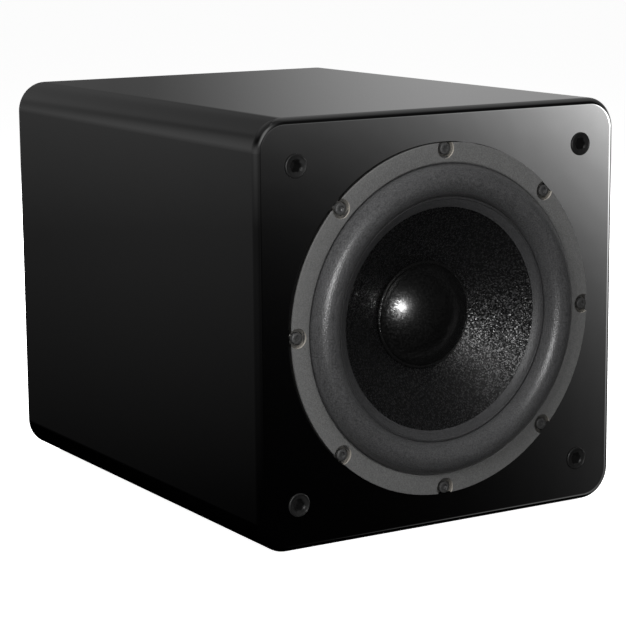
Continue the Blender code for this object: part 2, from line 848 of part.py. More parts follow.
def make_driver_wiring(driver, looks):
    """Terminal block on the spider ledge, and the two leads that flex up to the voice coil."""
    near = LEDGE_RADIUS + GAP
    front = SPIDER_DEPTH + EDGE
    low = (-TERMINAL_HALF_WIDTH, front, -near - TERMINAL_HEIGHT)
    high = (TERMINAL_HALF_WIDTH, front + TERMINAL_LENGTH, -near)
    bm = bmesh.new()
    add_box(bm, low, high)
    new_object("terminal_block", bm, looks["plastic"], parent=driver)
    for name, x in (("tinsel_lead_left", -LEAD_SPREAD), ("tinsel_lead_right", LEAD_SPREAD)):
        route = [
            (x, 0.0590, -TERMINAL_RADIUS),
            (x, 0.0520, -0.0900),
            (x, 0.0430, -0.0700),
            (x, 0.0440, -0.0500),
            (x, 0.0480, -0.0350),
        ]
        wire(name, route, LEAD_RADIUS, looks["copper"], driver)


# ---------------------------------------------------------------- amplifier


def amp_screw_places():
    return [
        (x, z) for z in (AMP_SCREW_Z, 0, -AMP_SCREW_Z) for x in (-AMP_SCREW_X, AMP_SCREW_X)
    ]


def plate_openings(amplifier):
    """Holes in the amplifier's plate for the controls and sockets that pass through it."""
    through = (AMP_BACK - CLEAR, AMP_FACE + CLEAR)
    bm = bmesh.new()
    for x in KNOBS.values():
        add_rod(bm, KNOB_HOLE_RADIUS, *through, 12, (x, KNOB_Z))
    add_rod(bm, LED_RADIUS + SOCKET_PLAY, *through, 12, (LED_X, KNOB_Z))
    rectangles = (
        (SWITCH_X, KNOB_Z, SWITCH_SLOT, 0),
        (INLET_X, SOCKET_ROW_Z, INLET_BODY, HOUSING_PLAY),
        (ROCKER_X, SOCKET_ROW_Z, SWITCH_BODY, HOUSING_PLAY),
    )
    for x, z, (width, height), play in rectangles:
        outline = rounded_rectangle(width + play, height + play, 0.001, 1, (x, z))
        add_loft(bm, [ring_of(outline, depth) for depth in through])
    return cutter("plate_openings", bm, parent=amplifier)


def make_amp_plate(amplifier, rear_panel, looks):
    outline = rounded_rectangle(AMP_WIDTH, AMP_HEIGHT, AMP_CORNER, 3)
    plate = loft(
        "amp_plate",
        [ring_of(outline, AMP_BACK), ring_of(outline, AMP_FACE)],
        looks["plate"],
        parent=amplifier,
    )
    inside = rounded_rectangle(AMP_CUTOUT_WIDTH + 0.002, AMP_CUTOUT_HEIGHT + 0.002, AMP_CORNER, 3)
    seal_back = AMP_BACK - GAP
    seal_front = seal_back - SEAL_THICKNESS
    seal = loft(
        "amp_seal",
        [
            ring_of(outline, seal_front),
            ring_of(outline, seal_back),
            ring_of(inside, seal_back),
            ring_of(inside, seal_front),
        ],
        looks["foam"],
        joined=True,
        parent=amplifier,
    )
    holes = rods_cutter(
        "amp_screw_holes",
        amp_screw_places(),
        AMP_SCREW_HOLE_RADIUS,
        AMP_FACE - AMP_SCREW_LENGTH - 3 * GAP,
        AMP_FACE + CLEAR,
        amplifier,
        8,
    )
    for target in (plate, seal, rear_panel):
        combine(target, holes)
    combine(plate, plate_openings(amplifier))

    screw = socket_screw_mesh(
        AMP_SCREW_HEAD_RADIUS, AMP_SCREW_HEAD_HEIGHT, AMP_SCREW_RADIUS, AMP_SCREW_LENGTH
    )
    outward = (0, 0, math.pi)
    for number, (x, z) in enumerate(amp_screw_places(), start=1):
        place = (x, ON_FACE + AMP_SCREW_HEAD_HEIGHT, z)
        place_mesh(f"amp_screw_{number}", screw, looks["black_steel"], amplifier, place, outward)


def make_heat_sink(amplifier, looks):
    """A finned extrusion across the plate's upper half, its fins running up and down."""
    base = ON_FACE + SINK_BASE
    tip = PROUD - GAP
    left = -(SINK_PITCH * (SINK_FINS - 1) + SINK_FIN) / 2
    outline = [(left, ON_FACE)]
    for k in range(SINK_FINS):
        start = left + k * SINK_PITCH
        end = start + SINK_FIN
        outline += [(start, base), (start, tip), (end, tip), (end, base)]
    outline = [outline[0]] + outline[2:-1] + [(-left, ON_FACE)]
    rings = [[Vector((x, y, z)) for x, y in outline] for z in (SINK_LOW, SINK_HIGH)]
    loft("heat_sink", rings, looks["heat_sink"], parent=amplifier)


def make_controls(amplifier, looks):
    """Three fluted knobs on their shafts, the standby switch's nub and the lamp."""
    points = 2 * KNOB_FLUTES

    def fluted(radius):
        return lambda angle: radius + KNOB_FLUTE_DEPTH * math.cos(KNOB_FLUTES * angle)

    skirt = KNOB_RADIUS + 0.0005
    rings = [
        ring_of(circle(KNOB_SHAFT_RADIUS, points), KNOB_SHAFT_END),
        ring_of(circle(KNOB_SHAFT_RADIUS, points), ON_FACE),
        ring_of(circle(skirt, points), ON_FACE),
        ring_of(circle(skirt, points), ON_FACE + 0.0012),
        ring_of(wavy_circle(fluted(skirt - 0.0017), points), ON_FACE + 0.0020),
        ring_of(wavy_circle(fluted(skirt - 0.0023), points), PROUD - 0.0006),
        ring_of(circle(skirt - 0.0035, points), PROUD),
    ]
    for name, x in KNOBS.items():
        loft(name, rings, looks["plastic"], parent=amplifier, place=(x, 0, KNOB_Z))

    width = SWITCH_NUB_WIDTH / 2
    nub = [(width, SWITCH_NUB_BACK), (width, AMP_FACE), (0.9 * width, AMP_FACE + 0.0030)]
    slider = [
        ring_of(rounded_rectangle(width, SWITCH_NUB_HEIGHT, GAP, 1), depth)
        for width, depth in nub
    ]
    start = (SWITCH_X - SWITCH_TRAVEL / 2, 0, KNOB_Z)
    loft("standby_switch", slider, looks["plastic"], parent=amplifier, place=start)

    lamp = [
        (0, LED_BACK),
        (LED_RADIUS, LED_BACK),
        (LED_RADIUS, AMP_FACE),
        (0.7 * LED_RADIUS, AMP_FACE + 0.0012),
        (0, AMP_FACE + 0.0016),
    ]
    turned("power_lamp", lamp, looks["lamp"], 12, parent=amplifier, place=(LED_X, 0, KNOB_Z))


def socket_housing_rings(flange, body, mouth, floor):
    """An open box with a flange: recess floor, mouth, flange, and the body behind the plate."""
    lip = ON_FACE + HOUSING_LIP
    return [
        ring_of(rounded_rectangle(*mouth, 0.002, 2), floor),
        ring_of(rounded_rectangle(*mouth, 0.002, 2), lip),
        ring_of(rounded_rectangle(*flange, 0.002, 2), lip),
        ring_of(rounded_rectangle(*flange, 0.002, 2), ON_FACE),
        ring_of(rounded_rectangle(*body, 0.001, 2), ON_FACE),
        ring_of(rounded_rectangle(*body, 0.001, 2), HOUSING_BACK),
    ]


def make_power_entry(amplifier, looks):
    inlet_place = (INLET_X, 0, SOCKET_ROW_Z)
    rings = socket_housing_rings(INLET_FLANGE, INLET_BODY, INLET_MOUTH, INLET_FLOOR)
    inlet = loft("power_inlet", rings, looks["plastic"], parent=amplifier, place=inlet_place)
    half_width, half_height = INLET_PIN_HALF
    bm = bmesh.new()
    for x, z in ((-0.007, -0.002), (0, 0.002), (0.007, -0.002)):
        low = (x - half_width, INLET_FLOOR - 0.002, z - half_height)
        add_box(bm, low, (x + half_width, -0.0010, z + half_height))
    pins = cutter("inlet_pins", bm, parent=amplifier, place=inlet_place)
    combine(inlet, pins, "UNION")

    switch_place = (ROCKER_X, 0, SOCKET_ROW_Z)
    rings = socket_housing_rings(SWITCH_FLANGE, SWITCH_BODY, SWITCH_MOUTH, SWITCH_FLOOR)
    loft("power_switch_housing", rings, looks["plastic"], parent=amplifier, place=switch_place)
    make_rocker(amplifier, switch_place, looks)


def make_rocker(amplifier, place, looks):
    """The rocker, pressed in at its lower end, with its origin on its pivot."""
    end = ROCKER_HALF_LENGTH
    top = ROCKER_RIDGE + end * math.tan(ROCKER_TILT)
    outline = [
        (-end, top),
        (0, ROCKER_RIDGE),
        (end, top),
        (end, -0.0010),
        (ROCKER_HEEL, -ROCKER_DEPTH),
        (-ROCKER_HEEL, -ROCKER_DEPTH),
        (-end, -0.0010),
    ]
    sides = (-ROCKER_HALF_WIDTH, ROCKER_HALF_WIDTH)
    rings = [[Vector((x, y, z)) for z, y in outline] for x in sides]
    loft(
        "power_rocker",
        rings,
        looks["plastic"],
        parent=amplifier,
        place=(place[0], AMP_FACE + 0.0005, place[2]),
        turn=(-ROCKER_TILT, 0, 0),
    )


def make_jacks(amplifier, looks):
    """Four phono sockets on one moulded block."""
    place = (JACK_X, 0, SOCKET_ROW_Z)
    outline = rounded_rectangle(*JACK_BLOCK, 0.002, 2)
    face = ON_FACE + JACK_BLOCK_THICKNESS
    block = loft(
        "line_jacks",
        [ring_of(outline, ON_FACE), ring_of(outline, face)],
        looks["plastic"],
        parent=amplifier,
        place=place,
    )
    sleeve = [
        (JACK_RADIUS, face - 0.0005),
        (JACK_RADIUS, JACK_END),
        (JACK_BORE_RADIUS, JACK_END),
        (JACK_BORE_RADIUS, face + 0.0010),
    ]
    bm = bmesh.new()
    for x in (-JACK_SPREAD[0], JACK_SPREAD[0]):
        for z in (-JACK_SPREAD[1], JACK_SPREAD[1]):
            add_loft(bm, [ring_of(circle(radius, 10, (x, z)), y) for radius, y in sleeve])
    combine(block, cutter("jack_sleeves", bm, parent=amplifier, place=place), "UNION")


def make_electronics(amplifier, looks):
    outline = rounded_rectangle(*BOARD_SIZE, 0.002, 1, (0, BOARD_MIDDLE_Z))
    back = BOARD_Y + BOARD_THICKNESS
    rooted = back - 0.0005
    half = CONTROL_HALF
    board = loft(
        "circuit_board",
        [ring_of(outline, BOARD_Y), ring_of(outline, back)],
        looks["circuit"],
        parent=amplifier,
    )
    bm = bmesh.new()
    for x in KNOBS.values():
        low = (x - half, rooted, KNOB_Z - half)
        add_box(bm, low, (x + half, KNOB_SHAFT_END - GAP, KNOB_Z + half))
    low = (SWITCH_X - half, rooted, KNOB_Z - half / 2)
    add_box(bm, low, (SWITCH_X + half, SWITCH_NUB_BACK - GAP, KNOB_Z + half / 2))
    combine(board, cutter("board_controls", bm, parent=amplifier), "UNION")

    top = BOARD_Y - CAN_LENGTH
    can = [
        (0, BOARD_Y - GAP),
        (CAN_RADIUS, BOARD_Y - GAP),
        (CAN_RADIUS, top + CAN_CHAMFER),
        (CAN_RADIUS - CAN_CHAMFER, top),
        (0, top),
    ]
    for name, x in CANS.items():
        turned(name, can, looks["sleeve"], 16, parent=amplifier, place=(x, 0, CAN_Z))


def make_transformer(looks):
    """A toroid on the cabinet's floor, held by a dished washer with its bolt."""
    x, y = TRANSFORMER_PLACE
    low = GAP
    high = low + TRANSFORMER_HEIGHT
    soft = TRANSFORMER_SOFT_EDGE
    ring = [
        (TRANSFORMER_BORE, low + soft),
        (TRANSFORMER_BORE + soft / 2, low),
        (TRANSFORMER_RADIUS - soft, low),
        (TRANSFORMER_RADIUS, low + soft),
        (TRANSFORMER_RADIUS, high - soft),
        (TRANSFORMER_RADIUS - soft, high),
        (TRANSFORMER_BORE + soft / 2, high),
        (TRANSFORMER_BORE, high - soft),
    ]
    upright = (math.pi / 2, 0, 0)
    place = (x, y, FLOOR_Z)
    turned("transformer", ring, looks["winding"], 24, place=place, turn=upright)
    under = high + GAP
    top = under + CLAMP_THICKNESS
    washer = [
        (0, -CLAMP_BOLT_DEPTH),
        (STUD_RADIUS, -CLAMP_BOLT_DEPTH),
        (STUD_RADIUS, under),
        (CLAMP_RADIUS, under),
        (CLAMP_RADIUS, top),
        (CLAMP_HEAD_RADIUS, top),
        (CLAMP_HEAD_RADIUS, top + CLAMP_HEAD_HEIGHT),
        (0, top + CLAMP_HEAD_HEIGHT),
    ]
    turned("transformer_clamp", washer, looks["zinc"], 16, place=place, turn=upright)


def make_speaker_cable(looks):
    """The lead from the amplifier's board to the driver's terminals, held inside the cabinet."""
    start = FRONT_Y + 0.0725
    end = REAR_Y + BOARD_Y - 0.0020
    route = [
        (0, start, AXIS_Z - TERMINAL_RADIUS),
        (0, start + 0.015, 0.084),
        (0.010, -0.110, 0.058),
        (0.035, -0.060, 0.050),
        (0.060, -0.020, 0.070),
        (0.070, 0.009, 0.090),
        (0.072, 0.050, 0.105),
        (0.070, 0.110, 0.140),
        (0.060, 0.165, 0.180),
        (0.055, end - 0.012, 0.192),
        (0.055, end, 0.192),
    ]
    wire("speaker_cable", route, CABLE_RADIUS, looks["cable"])


def make_looks():
    return {
        "lacquer": material("black_lacquer", (0.006, 0.006, 0.007), 0.08),
        "board": material("fibreboard", (0.32, 0.22, 0.13), 0.85),
        "wadding": material("wadding", (0.75, 0.75, 0.73), 0.95),
        "rubber": material("rubber", (0.045, 0.045, 0.047), 0.55),
        "foam": material("foam", (0.03, 0.03, 0.03), 0.9),
        "ring": material("ring_foam", (0.10, 0.10, 0.10), 0.8),
        "casting": material("cast_frame", (0.35, 0.35, 0.36), 0.45, 1.0),
        "black_steel": material("black_steel", (0.02, 0.02, 0.02), 0.35, 1.0),
        "cone": material("woven_cone", (0.012, 0.012, 0.013), 0.35),
        "former": material("former", (0.65, 0.55, 0.35), 0.5),
        "copper": material("copper", (0.72, 0.36, 0.18), 0.35, 1.0),
        "cloth": material("spider_cloth", (0.55, 0.42, 0.22), 0.9),
        "zinc": material("zinc_steel", (0.45, 0.45, 0.46), 0.35, 1.0),
        "ferrite": material("ferrite", (0.05, 0.05, 0.055), 0.6),
        "plastic": material("black_plastic", (0.018, 0.018, 0.018), 0.45),
        "plate": material("amp_plate", (0.02, 0.02, 0.021), 0.5, 1.0),
        "heat_sink": material("heat_sink", (0.03, 0.03, 0.032), 0.45, 1.0),
        "lamp": material("lamp", (0.1, 0.35, 0.9), 0.3),
        "circuit": material("circuit_board", (0.02, 0.16, 0.07), 0.5),
        "sleeve": material("capacitor_sleeve", (0.02, 0.03, 0.10), 0.4),
        "winding": material("transformer_tape", (0.55, 0.35, 0.05), 0.4),
        "cable": material("cable", (0.06, 0.02, 0.02), 0.5),
    }


def main():
    for old in list(bpy.data.objects):
        bpy.data.objects.remove(old)
    looks = make_looks()
    driver = frame_of_reference("driver_axis", (0, FRONT_Y, AXIS_Z))
    amplifier = frame_of_reference("amplifier", (0, REAR_Y, AXIS_Z))
    bolts, rear_panel = make_cabinet(driver, amplifier, looks)
    make_feet(looks)
    make_grille_sockets(driver, looks)
    make_frame_of_driver(driver, bolts, looks)
    make_suspension(driver, looks)
    make_cone_assembly(driver, looks)
    make_motor(driver, looks)
    make_driver_wiring(driver, looks)
    make_amp_plate(amplifier, rear_panel, looks)
    make_heat_sink(amplifier, looks)
    make_controls(amplifier, looks)
    make_power_entry(amplifier, looks)
    make_jacks(amplifier, looks)
    make_electronics(amplifier, looks)
    make_transformer(looks)
    make_speaker_cable(looks)


main()
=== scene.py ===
"""The looks of a gloss black subwoofer.

Finer pieces stand in for the CAD frame's nodes, with their finishes, in a white studio.
"""

import math

import bmesh
import bpy
from mathutils import Matrix, Vector
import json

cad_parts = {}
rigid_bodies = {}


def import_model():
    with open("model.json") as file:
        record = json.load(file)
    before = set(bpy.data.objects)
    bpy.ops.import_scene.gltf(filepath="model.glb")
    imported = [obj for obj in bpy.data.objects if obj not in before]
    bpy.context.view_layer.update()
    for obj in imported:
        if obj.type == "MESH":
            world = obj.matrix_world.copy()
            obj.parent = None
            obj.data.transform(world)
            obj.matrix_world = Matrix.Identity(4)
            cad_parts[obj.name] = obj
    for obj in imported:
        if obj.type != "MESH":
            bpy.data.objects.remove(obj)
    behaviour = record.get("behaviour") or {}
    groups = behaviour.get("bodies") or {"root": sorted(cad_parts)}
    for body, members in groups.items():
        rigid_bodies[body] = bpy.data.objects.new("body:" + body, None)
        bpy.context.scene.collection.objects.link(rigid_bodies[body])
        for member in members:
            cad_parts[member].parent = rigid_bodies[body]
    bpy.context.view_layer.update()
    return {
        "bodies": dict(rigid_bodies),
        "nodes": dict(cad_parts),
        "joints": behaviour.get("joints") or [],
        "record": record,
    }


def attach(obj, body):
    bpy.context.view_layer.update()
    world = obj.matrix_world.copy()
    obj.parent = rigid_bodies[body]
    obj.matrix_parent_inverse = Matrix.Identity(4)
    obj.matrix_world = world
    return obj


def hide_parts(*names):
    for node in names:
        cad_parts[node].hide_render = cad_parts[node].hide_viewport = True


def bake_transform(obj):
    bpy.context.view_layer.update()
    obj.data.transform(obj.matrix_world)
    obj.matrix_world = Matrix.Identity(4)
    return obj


# Cabinet, in metres. The front faces -Y and the floor is at Z = 0.
WIDTH = 0.370
HEIGHT = 0.366
DEPTH = 0.468
FOOT_HEIGHT = 0.006
FRONT_Y = -DEPTH / 2
REAR_Y = DEPTH / 2
AXIS_Z = FOOT_HEIGHT + HEIGHT / 2
LONG_EDGE_RADIUS = 0.028
FRONT_ROUNDOVER = 0.006
REAR_ROUNDOVER = 0.003
WALL = 0.022
INNER_CORNER_RADIUS = 0.010
SOCKET_X = 0.1465
SOCKET_Z = 0.143
SOCKET_BODY_RADIUS = 0.0079
SOCKET_LIP_RADIUS = 0.01025
SOCKET_DEPTH = 0.014
SOCKET_HOLE_RADIUS = 0.0051
SOCKET_LOBES = 6
SOCKET_LOBE_HEIGHT = 0.0004
SOCKET_FLOOR = 0.0113
SOCKET_LIP = (  # radius and depth, from the hole's edge to the lip's rim
    (0.0060, -0.0005), (0.0080, -0.0006), (0.0084, -0.0007), (0.0087, -0.0011),
    (0.0090, -0.0013), (0.0094, -0.0013),
)
FOOT_PLACES = (0.120, 0.179)
FOOT_PROFILE = (  # radius and height above the floor
    (0, 0.0), (0.0135, 0.0), (0.0143, 0.0003), (0.0148, 0.0010), (0.0155, 0.0050),
    (0.0153, 0.0055),
)
FOOT_TOP_RADIUS = 0.0148

# Driver, with depths measured back from the front face
DRIVER = (0.0, FRONT_Y, AXIS_Z)
GAP = 0.0003
RING_RADIUS = 0.1535
RING_INNER_RADIUS = 0.1362
RING_FRONT = -0.0034
RING_BACK = -0.0013
FLANGE_FRONT = -0.0010
REBATE_RADIUS = 0.1542
REBATE_DEPTH = 0.0055
CUTOUT_RADIUS = 0.1408
BOLT_COUNT = 8
BOLT_CIRCLE = 0.1483
NOTCH_RADIUS = 0.0085
BORE_RADIUS = 0.0062
BORE_DEPTH = 0.0018
SCREW_HOLE_RADIUS = 0.0033
SCREW_FACE = -0.0030
WINDOW_COUNT = 6
WINDOW_SIZE = (0.072, 0.070)
WINDOW_CORNER = 0.008
WINDOW_DISTANCE = 0.115
WINDOW_DEPTHS = (0.0240, 0.0585)
BASKET_PROFILE = (  # radius and depth: flange, cage, spider ledge, and the seat of the motor
    (0.1532, -0.0010), (0.1532, 0.0038), (0.1398, 0.0038), (0.1398, 0.0200), (0.0918, 0.0600),
    (0.0918, 0.0645), (0.0880, 0.0645), (0.0720, 0.0880), (0.0720, 0.0917), (0.0400, 0.0917),
    (0.0400, 0.0882), (0.0690, 0.0882), (0.0845, 0.0645), (0.0780, 0.0645), (0.0780, 0.0612),
    (0.0880, 0.0612), (0.0880, 0.0590), (0.1340, 0.0207), (0.1340, 0.0005), (0.1416, 0.0005),
    (0.1416, -0.0010),
)
CUTTER_REACH = 0.010
PROUD = 0.015
SKIN = 0.0012
ROLL_MIDDLE = 0.1213
ROLL_HALF_WIDTH = 0.0134
CONE_EDGE_RADIUS = 0.1065
CONE_SEEN_RADIUS = 0.0980
CONE_SEEN_DEPTH = 0.0045
CONE_SLOPE = math.radians(28.8)
CONE_THICKNESS = 0.0013
NECK_RADIUS = 0.0330
CAP_RADIUS = 0.0470
CAP_HEIGHT = 0.0200
CAP_THICKNESS = 0.0010
CAP_DOME_RADIUS = 0.0443
CAP_BEAD = (  # radius, and height above the cone's glued seat
    (0.0447, 0.0008), (0.0452, 0.0006), (0.0457, 0.0014), (0.0463, 0.0016), (0.0469, 0.0011),
    (0.0472, 0.0),
)
MOULDED_STEP = (  # radius and depth, at the foot of the roll
    (0.1074, 0.0003), (0.1070, 0.0), (0.1067, -0.0008), (0.1063, -0.0015), (0.1057, -0.0018),
)
LIP_RADIUS = 0.1066
SURROUND_FLEX = (0.1350, 0.1075)
INNER_FLEX = (  # node, material slot, radius that stays still, radius that travels with the cone
    ("spider", "cloth", 0.0790, 0.0340),
    ("tinsel_lead_left", "copper", 0.0925, 0.0360),
    ("tinsel_lead_right", "copper", 0.0925, 0.0360),
)

# Amplifier, with distances measured out from the rear face and heights from the cabinet's middle
AMP_WIDTH = 0.264
AMP_HEIGHT = 0.288
AMP_CORNER = 0.006
AMP_BACK = 0.0015
AMP_FACE = 0.0045
ON_FACE = AMP_FACE + GAP
AMP_SCREW_X = 0.1250
AMP_SCREW_Z = 0.1370
KNOB_Z = -0.020
KNOBS = {"level_knob": -0.085, "crossover_knob": -0.035, "phase_knob": 0.015}
KNOB_RADIUS = 0.0115
KNOB_SHAFT_RADIUS = 0.0030
KNOB_SHAFT_END = -0.0120
KNOB_TURN = math.radians(150)
SWITCH_X = 0.0600
SWITCH_TRAVEL = 0.0040
LED_X = 0.0880
SOCKET_ROW_Z = -0.080
INLET_X = 0.0330
ROCKER_X = 0.0850
ROCKER_TILT = math.radians(9)
JACK_X = -0.0500
JACK_BLOCK = (0.0600, 0.0400)
JACK_SPREAD = (0.017, 0.010)
KNOB_HOLE_RADIUS = 0.0036
LED_HOLE_RADIUS = 0.0029
LED_RADIUS = 0.0025
AMP_SCREW_HOLE_RADIUS = 0.0023
AMP_SCREW_HEAD = 0.0024
SWITCH_SLOT = (0.0120, 0.0052)
INLET_CUT = (0.0290, 0.0210)
ROCKER_CUT = (0.0180, 0.0260)
DOTS = 11
DOT_CIRCLE = 0.0150
DOT_RADIUS = 0.0005
END_DOT_RADIUS = 0.00075
SINK_SPAN = (0.022, 0.126)


# Finishes that mirror the studio's walls. The driver is lit by the lamps alone.
MIRRORING = (
    "black_lacquer",
    "black_plastic",
    "powder_coat",
    "anodised_black",
    "lamp_lens",
    "plated_sleeve",
)


# ---------------------------------------------------------------- shader nodes


def node(look, kind, inputs=None, **settings):
    """Adds a shader node. An input is given a constant, or another node's output to link."""
    made = look.node_tree.nodes.new(kind)
    for name, value in settings.items():
        setattr(made, name, value)
    for name, value in (inputs or {}).items():
        if isinstance(value, bpy.types.NodeSocket):
            look.node_tree.links.new(value, made.inputs[name])
        else:
            made.inputs[name].default_value = value
    return made


def plain(name, colour, roughness, metallic=0.0, **more):
    """A Principled material with constant values. Extra sockets are given with underscores for spaces."""
    look = bpy.data.materials.new(name)
    look.use_nodes = True
    shader = shader_of(look)
    shader.inputs["Base Color"].default_value = (*colour, 1)
    shader.inputs["Roughness"].default_value = roughness
    shader.inputs["Metallic"].default_value = metallic
    for socket, value in more.items():
        shader.inputs[socket.replace("_", " ")].default_value = value
    return look


def grey(level):
    return (level, level, level)


def shader_of(look):
    return look.node_tree.nodes["Principled BSDF"]


def connect(look, socket, output):
    look.node_tree.links.new(output, shader_of(look).inputs[socket])


def object_place(look):
    return node(look, "ShaderNodeTexCoord").outputs["Object"]


def noise(look, scale, detail=2.0):
    inputs = {"Vector": object_place(look), "Scale": scale, "Detail": detail}
    return node(look, "ShaderNodeTexNoise", inputs).outputs["Fac"]


def between(look, source, low, high, from_low=0.0, from_high=1.0):
    ends = {"From Min": from_low, "From Max": from_high, "To Min": low, "To Max": high}
    return node(look, "ShaderNodeMapRange", {"Value": source, **ends}).outputs["Result"]


def blend_colours(look, factor, first, second):
    made = node(look, "ShaderNodeMix", data_type="RGBA")
    look.node_tree.links.new(factor, made.inputs["Factor"])
    colours = [socket for socket in made.inputs if socket.type == "RGBA"]
    for socket, value in zip(colours, (first, second)):
        socket.default_value = (*value, 1)
    return [socket for socket in made.outputs if socket.type == "RGBA"][0]


def bump(look, height, distance, strength=1.0):
    inputs = {"Height": height, "Distance": distance, "Strength": strength}
    return node(look, "ShaderNodeBump", inputs).outputs["Normal"]


def grained(name, colour, roughness, grain, depth, metallic=0.0, spread=0.15, **more):
    """A material with a fine grain of the given size and depth, which also mottles its colour."""
    look = plain(name, colour, roughness, metallic, **more)
    lighter = tuple(c * (1 + 2 * spread) for c in colour)
    darker = tuple(c * (1 - 2 * spread) for c in colour)
    grains = noise(look, 1 / grain, 3.0)
    mottling = between(look, grains, 0.0, 1.0, 0.25, 0.75)
    connect(look, "Base Color", blend_colours(look, mottling, darker, lighter))
    connect(look, "Roughness", between(look, mottling, roughness + 0.05, roughness - 0.05))
    connect(look, "Normal", bump(look, grains, depth))
    return look


def vector_math(look, operation, inputs):
    return node(look, "ShaderNodeVectorMath", inputs, operation=operation).outputs["Vector"]


def woven_gloss(name, dark, light, roughness, pitch, tilt, shine):
    """Woven cloth under a thin clear coat: small tows, each leaning its own way.

    The shine runs from the dullest tow's to the brightest one's, and few are bright.
    """
    look = plain(name, dark, roughness)
    parts = node(look, "ShaderNodeSeparateXYZ", {"Vector": object_place(look)}).outputs
    flat = node(look, "ShaderNodeCombineXYZ", {"X": parts["X"], "Y": parts["Z"]}).outputs["Vector"]
    cells = node(
        look,
        "ShaderNodeTexVoronoi",
        {"Vector": flat, "Scale": 1 / pitch, "Randomness": 0.6},
        voronoi_dimensions="2D",
    ).outputs
    chance = node(look, "ShaderNodeSeparateXYZ", {"Vector": cells["Color"]}).outputs["X"]
    rare = node(look, "ShaderNodeMath", {0: chance, 1: 4.0}, operation="POWER").outputs["Value"]
    connect(look, "Base Color", blend_colours(look, chance, dark, light))
    connect(look, "Specular IOR Level", between(look, rare, *shine))
    centred = vector_math(look, "SUBTRACT", {0: cells["Color"], 1: grey(0.5)})
    lean = vector_math(look, "SCALE", {0: centred, "Scale": tilt})
    straight = node(look, "ShaderNodeNewGeometry").outputs["Normal"]
    leaning = vector_math(look, "ADD", {0: straight, 1: lean})
    connect(look, "Normal", vector_math(look, "NORMALIZE", {0: leaning}))
    return look


def brushed(name, colour, roughness):
    """Plated or bare steel with fine, irregular wear."""
    look = plain(name, colour, roughness, 1.0)
    wear = noise(look, 160.0, 6.0)
    connect(look, "Roughness", between(look, wear, roughness - 0.1, roughness + 0.14, 0.3, 0.7))
    connect(look, "Normal", bump(look, noise(look, 2600.0), 0.00003))
    return look


def lacquer():
    look = plain("black_lacquer", (0.0007, 0.0007, 0.0008), 0.035)
    connect(look, "Normal", bump(look, noise(look, 30.0, 1.0), 0.00004, 0.5))
    return look


def make_looks():
    return {**driver_looks(), **cabinet_looks(), **amplifier_looks()}


def driver_looks():
    return {
        "rubber": grained(
            "surround_rubber", (0.048, 0.048, 0.049), 0.34, 0.0012, 0.00026,
            spread=0.35, Specular_IOR_Level=0.75,
        ),
        # The inner lip is the roll's rubber in a darker copy: painted shade.
        "lip": grained("surround_lip_painted_shade", (0.032, 0.032, 0.033), 0.45, 0.0012, 0.0002, spread=0.3),
        "ring": grained(
            "ring_rubber", (0.104, 0.104, 0.103), 0.8, 0.0010, 0.00010,
            spread=0.14, Specular_IOR_Level=0.25,
        ),
        "ring_edge": grained("ring_cut_edge", (0.30, 0.28, 0.25), 0.6, 0.0006, 0.0001),
        "casting": grained("cast_frame", (0.42, 0.41, 0.39), 0.45, 0.0012, 0.00008, 1.0),
        "black_steel": grained("black_steel", grey(0.17), 0.42, 0.0009, 0.00010, 0.8),
        "cone": woven_gloss(
            "woven_cone", grey(0.004), (0.009, 0.009, 0.0095), 0.38, 0.00085, 0.28, (0.10, 5.5)
        ),
        "cap": woven_gloss("woven_cap", grey(0.002), grey(0.006), 0.26, 0.0011, 0.05, (0.8, 2.6)),
        "bead": grained("glue_bead", grey(0.006), 0.28, 0.0009, 0.0004),
        "former": plain("former_film", (0.65, 0.45, 0.2), 0.3),
        "copper": brushed("copper_wire", (0.72, 0.36, 0.18), 0.35),
        "cloth": grained("spider_cloth", (0.55, 0.42, 0.22), 0.9, 0.0008, 0.0002),
        "ferrite": grained("ferrite", (0.05, 0.05, 0.055), 0.6, 0.001, 0.0001),
    }


def cabinet_looks():
    return {
        "lacquer": lacquer(),
        "board": grained("fibreboard", (0.36, 0.25, 0.15), 0.85, 0.0008, 0.0002),
        "wadding": grained("wadding", (0.75, 0.75, 0.73), 0.95, 0.004, 0.003),
        "cup": grained("socket_plastic", grey(0.010), 0.45, 0.0006, 0.00008),
        # Near black for the inside of the sockets' holes, darker than the cup's plastic: painted shade in
        # the recess.
        "painted_hole_shade": plain("socket_inside_painted_shade", grey(0.0008), 0.9),
        "foam": grained("foam_strip", grey(0.03), 0.9, 0.0008, 0.0003),
    }


def amplifier_looks():
    return {
        "zinc": brushed("zinc_steel", (0.60, 0.60, 0.61), 0.35),
        "plastic": grained("black_plastic", grey(0.016), 0.45, 0.0005, 0.00005),
        "plate": grained("powder_coat", (0.030, 0.030, 0.031), 0.5, 0.0009, 0.00016),
        "heat_sink": brushed("anodised_black", (0.11, 0.11, 0.115), 0.4),
        "lamp": plain("lamp_lens", (0.03, 0.16, 0.75), 0.1),
        "mark": plain("pale_mark", (0.62, 0.62, 0.60), 0.5),
        "plated": brushed("plated_sleeve", (0.75, 0.72, 0.66), 0.25),
        "red": plain("red_insulator", (0.45, 0.015, 0.012), 0.4),
        "white": plain("white_insulator", (0.75, 0.75, 0.72), 0.4),
        "circuit": grained("circuit_board", (0.02, 0.16, 0.07), 0.5, 0.002, 0.00005),
        "sleeve": plain("capacitor_sleeve", (0.02, 0.03, 0.10), 0.4),
        "winding": grained("transformer_tape", (0.55, 0.35, 0.05), 0.4, 0.003, 0.0001),
        "cable": plain("cable_sheath", (0.06, 0.02, 0.02), 0.5),
    }


# ---------------------------------------------------------------- mesh helpers


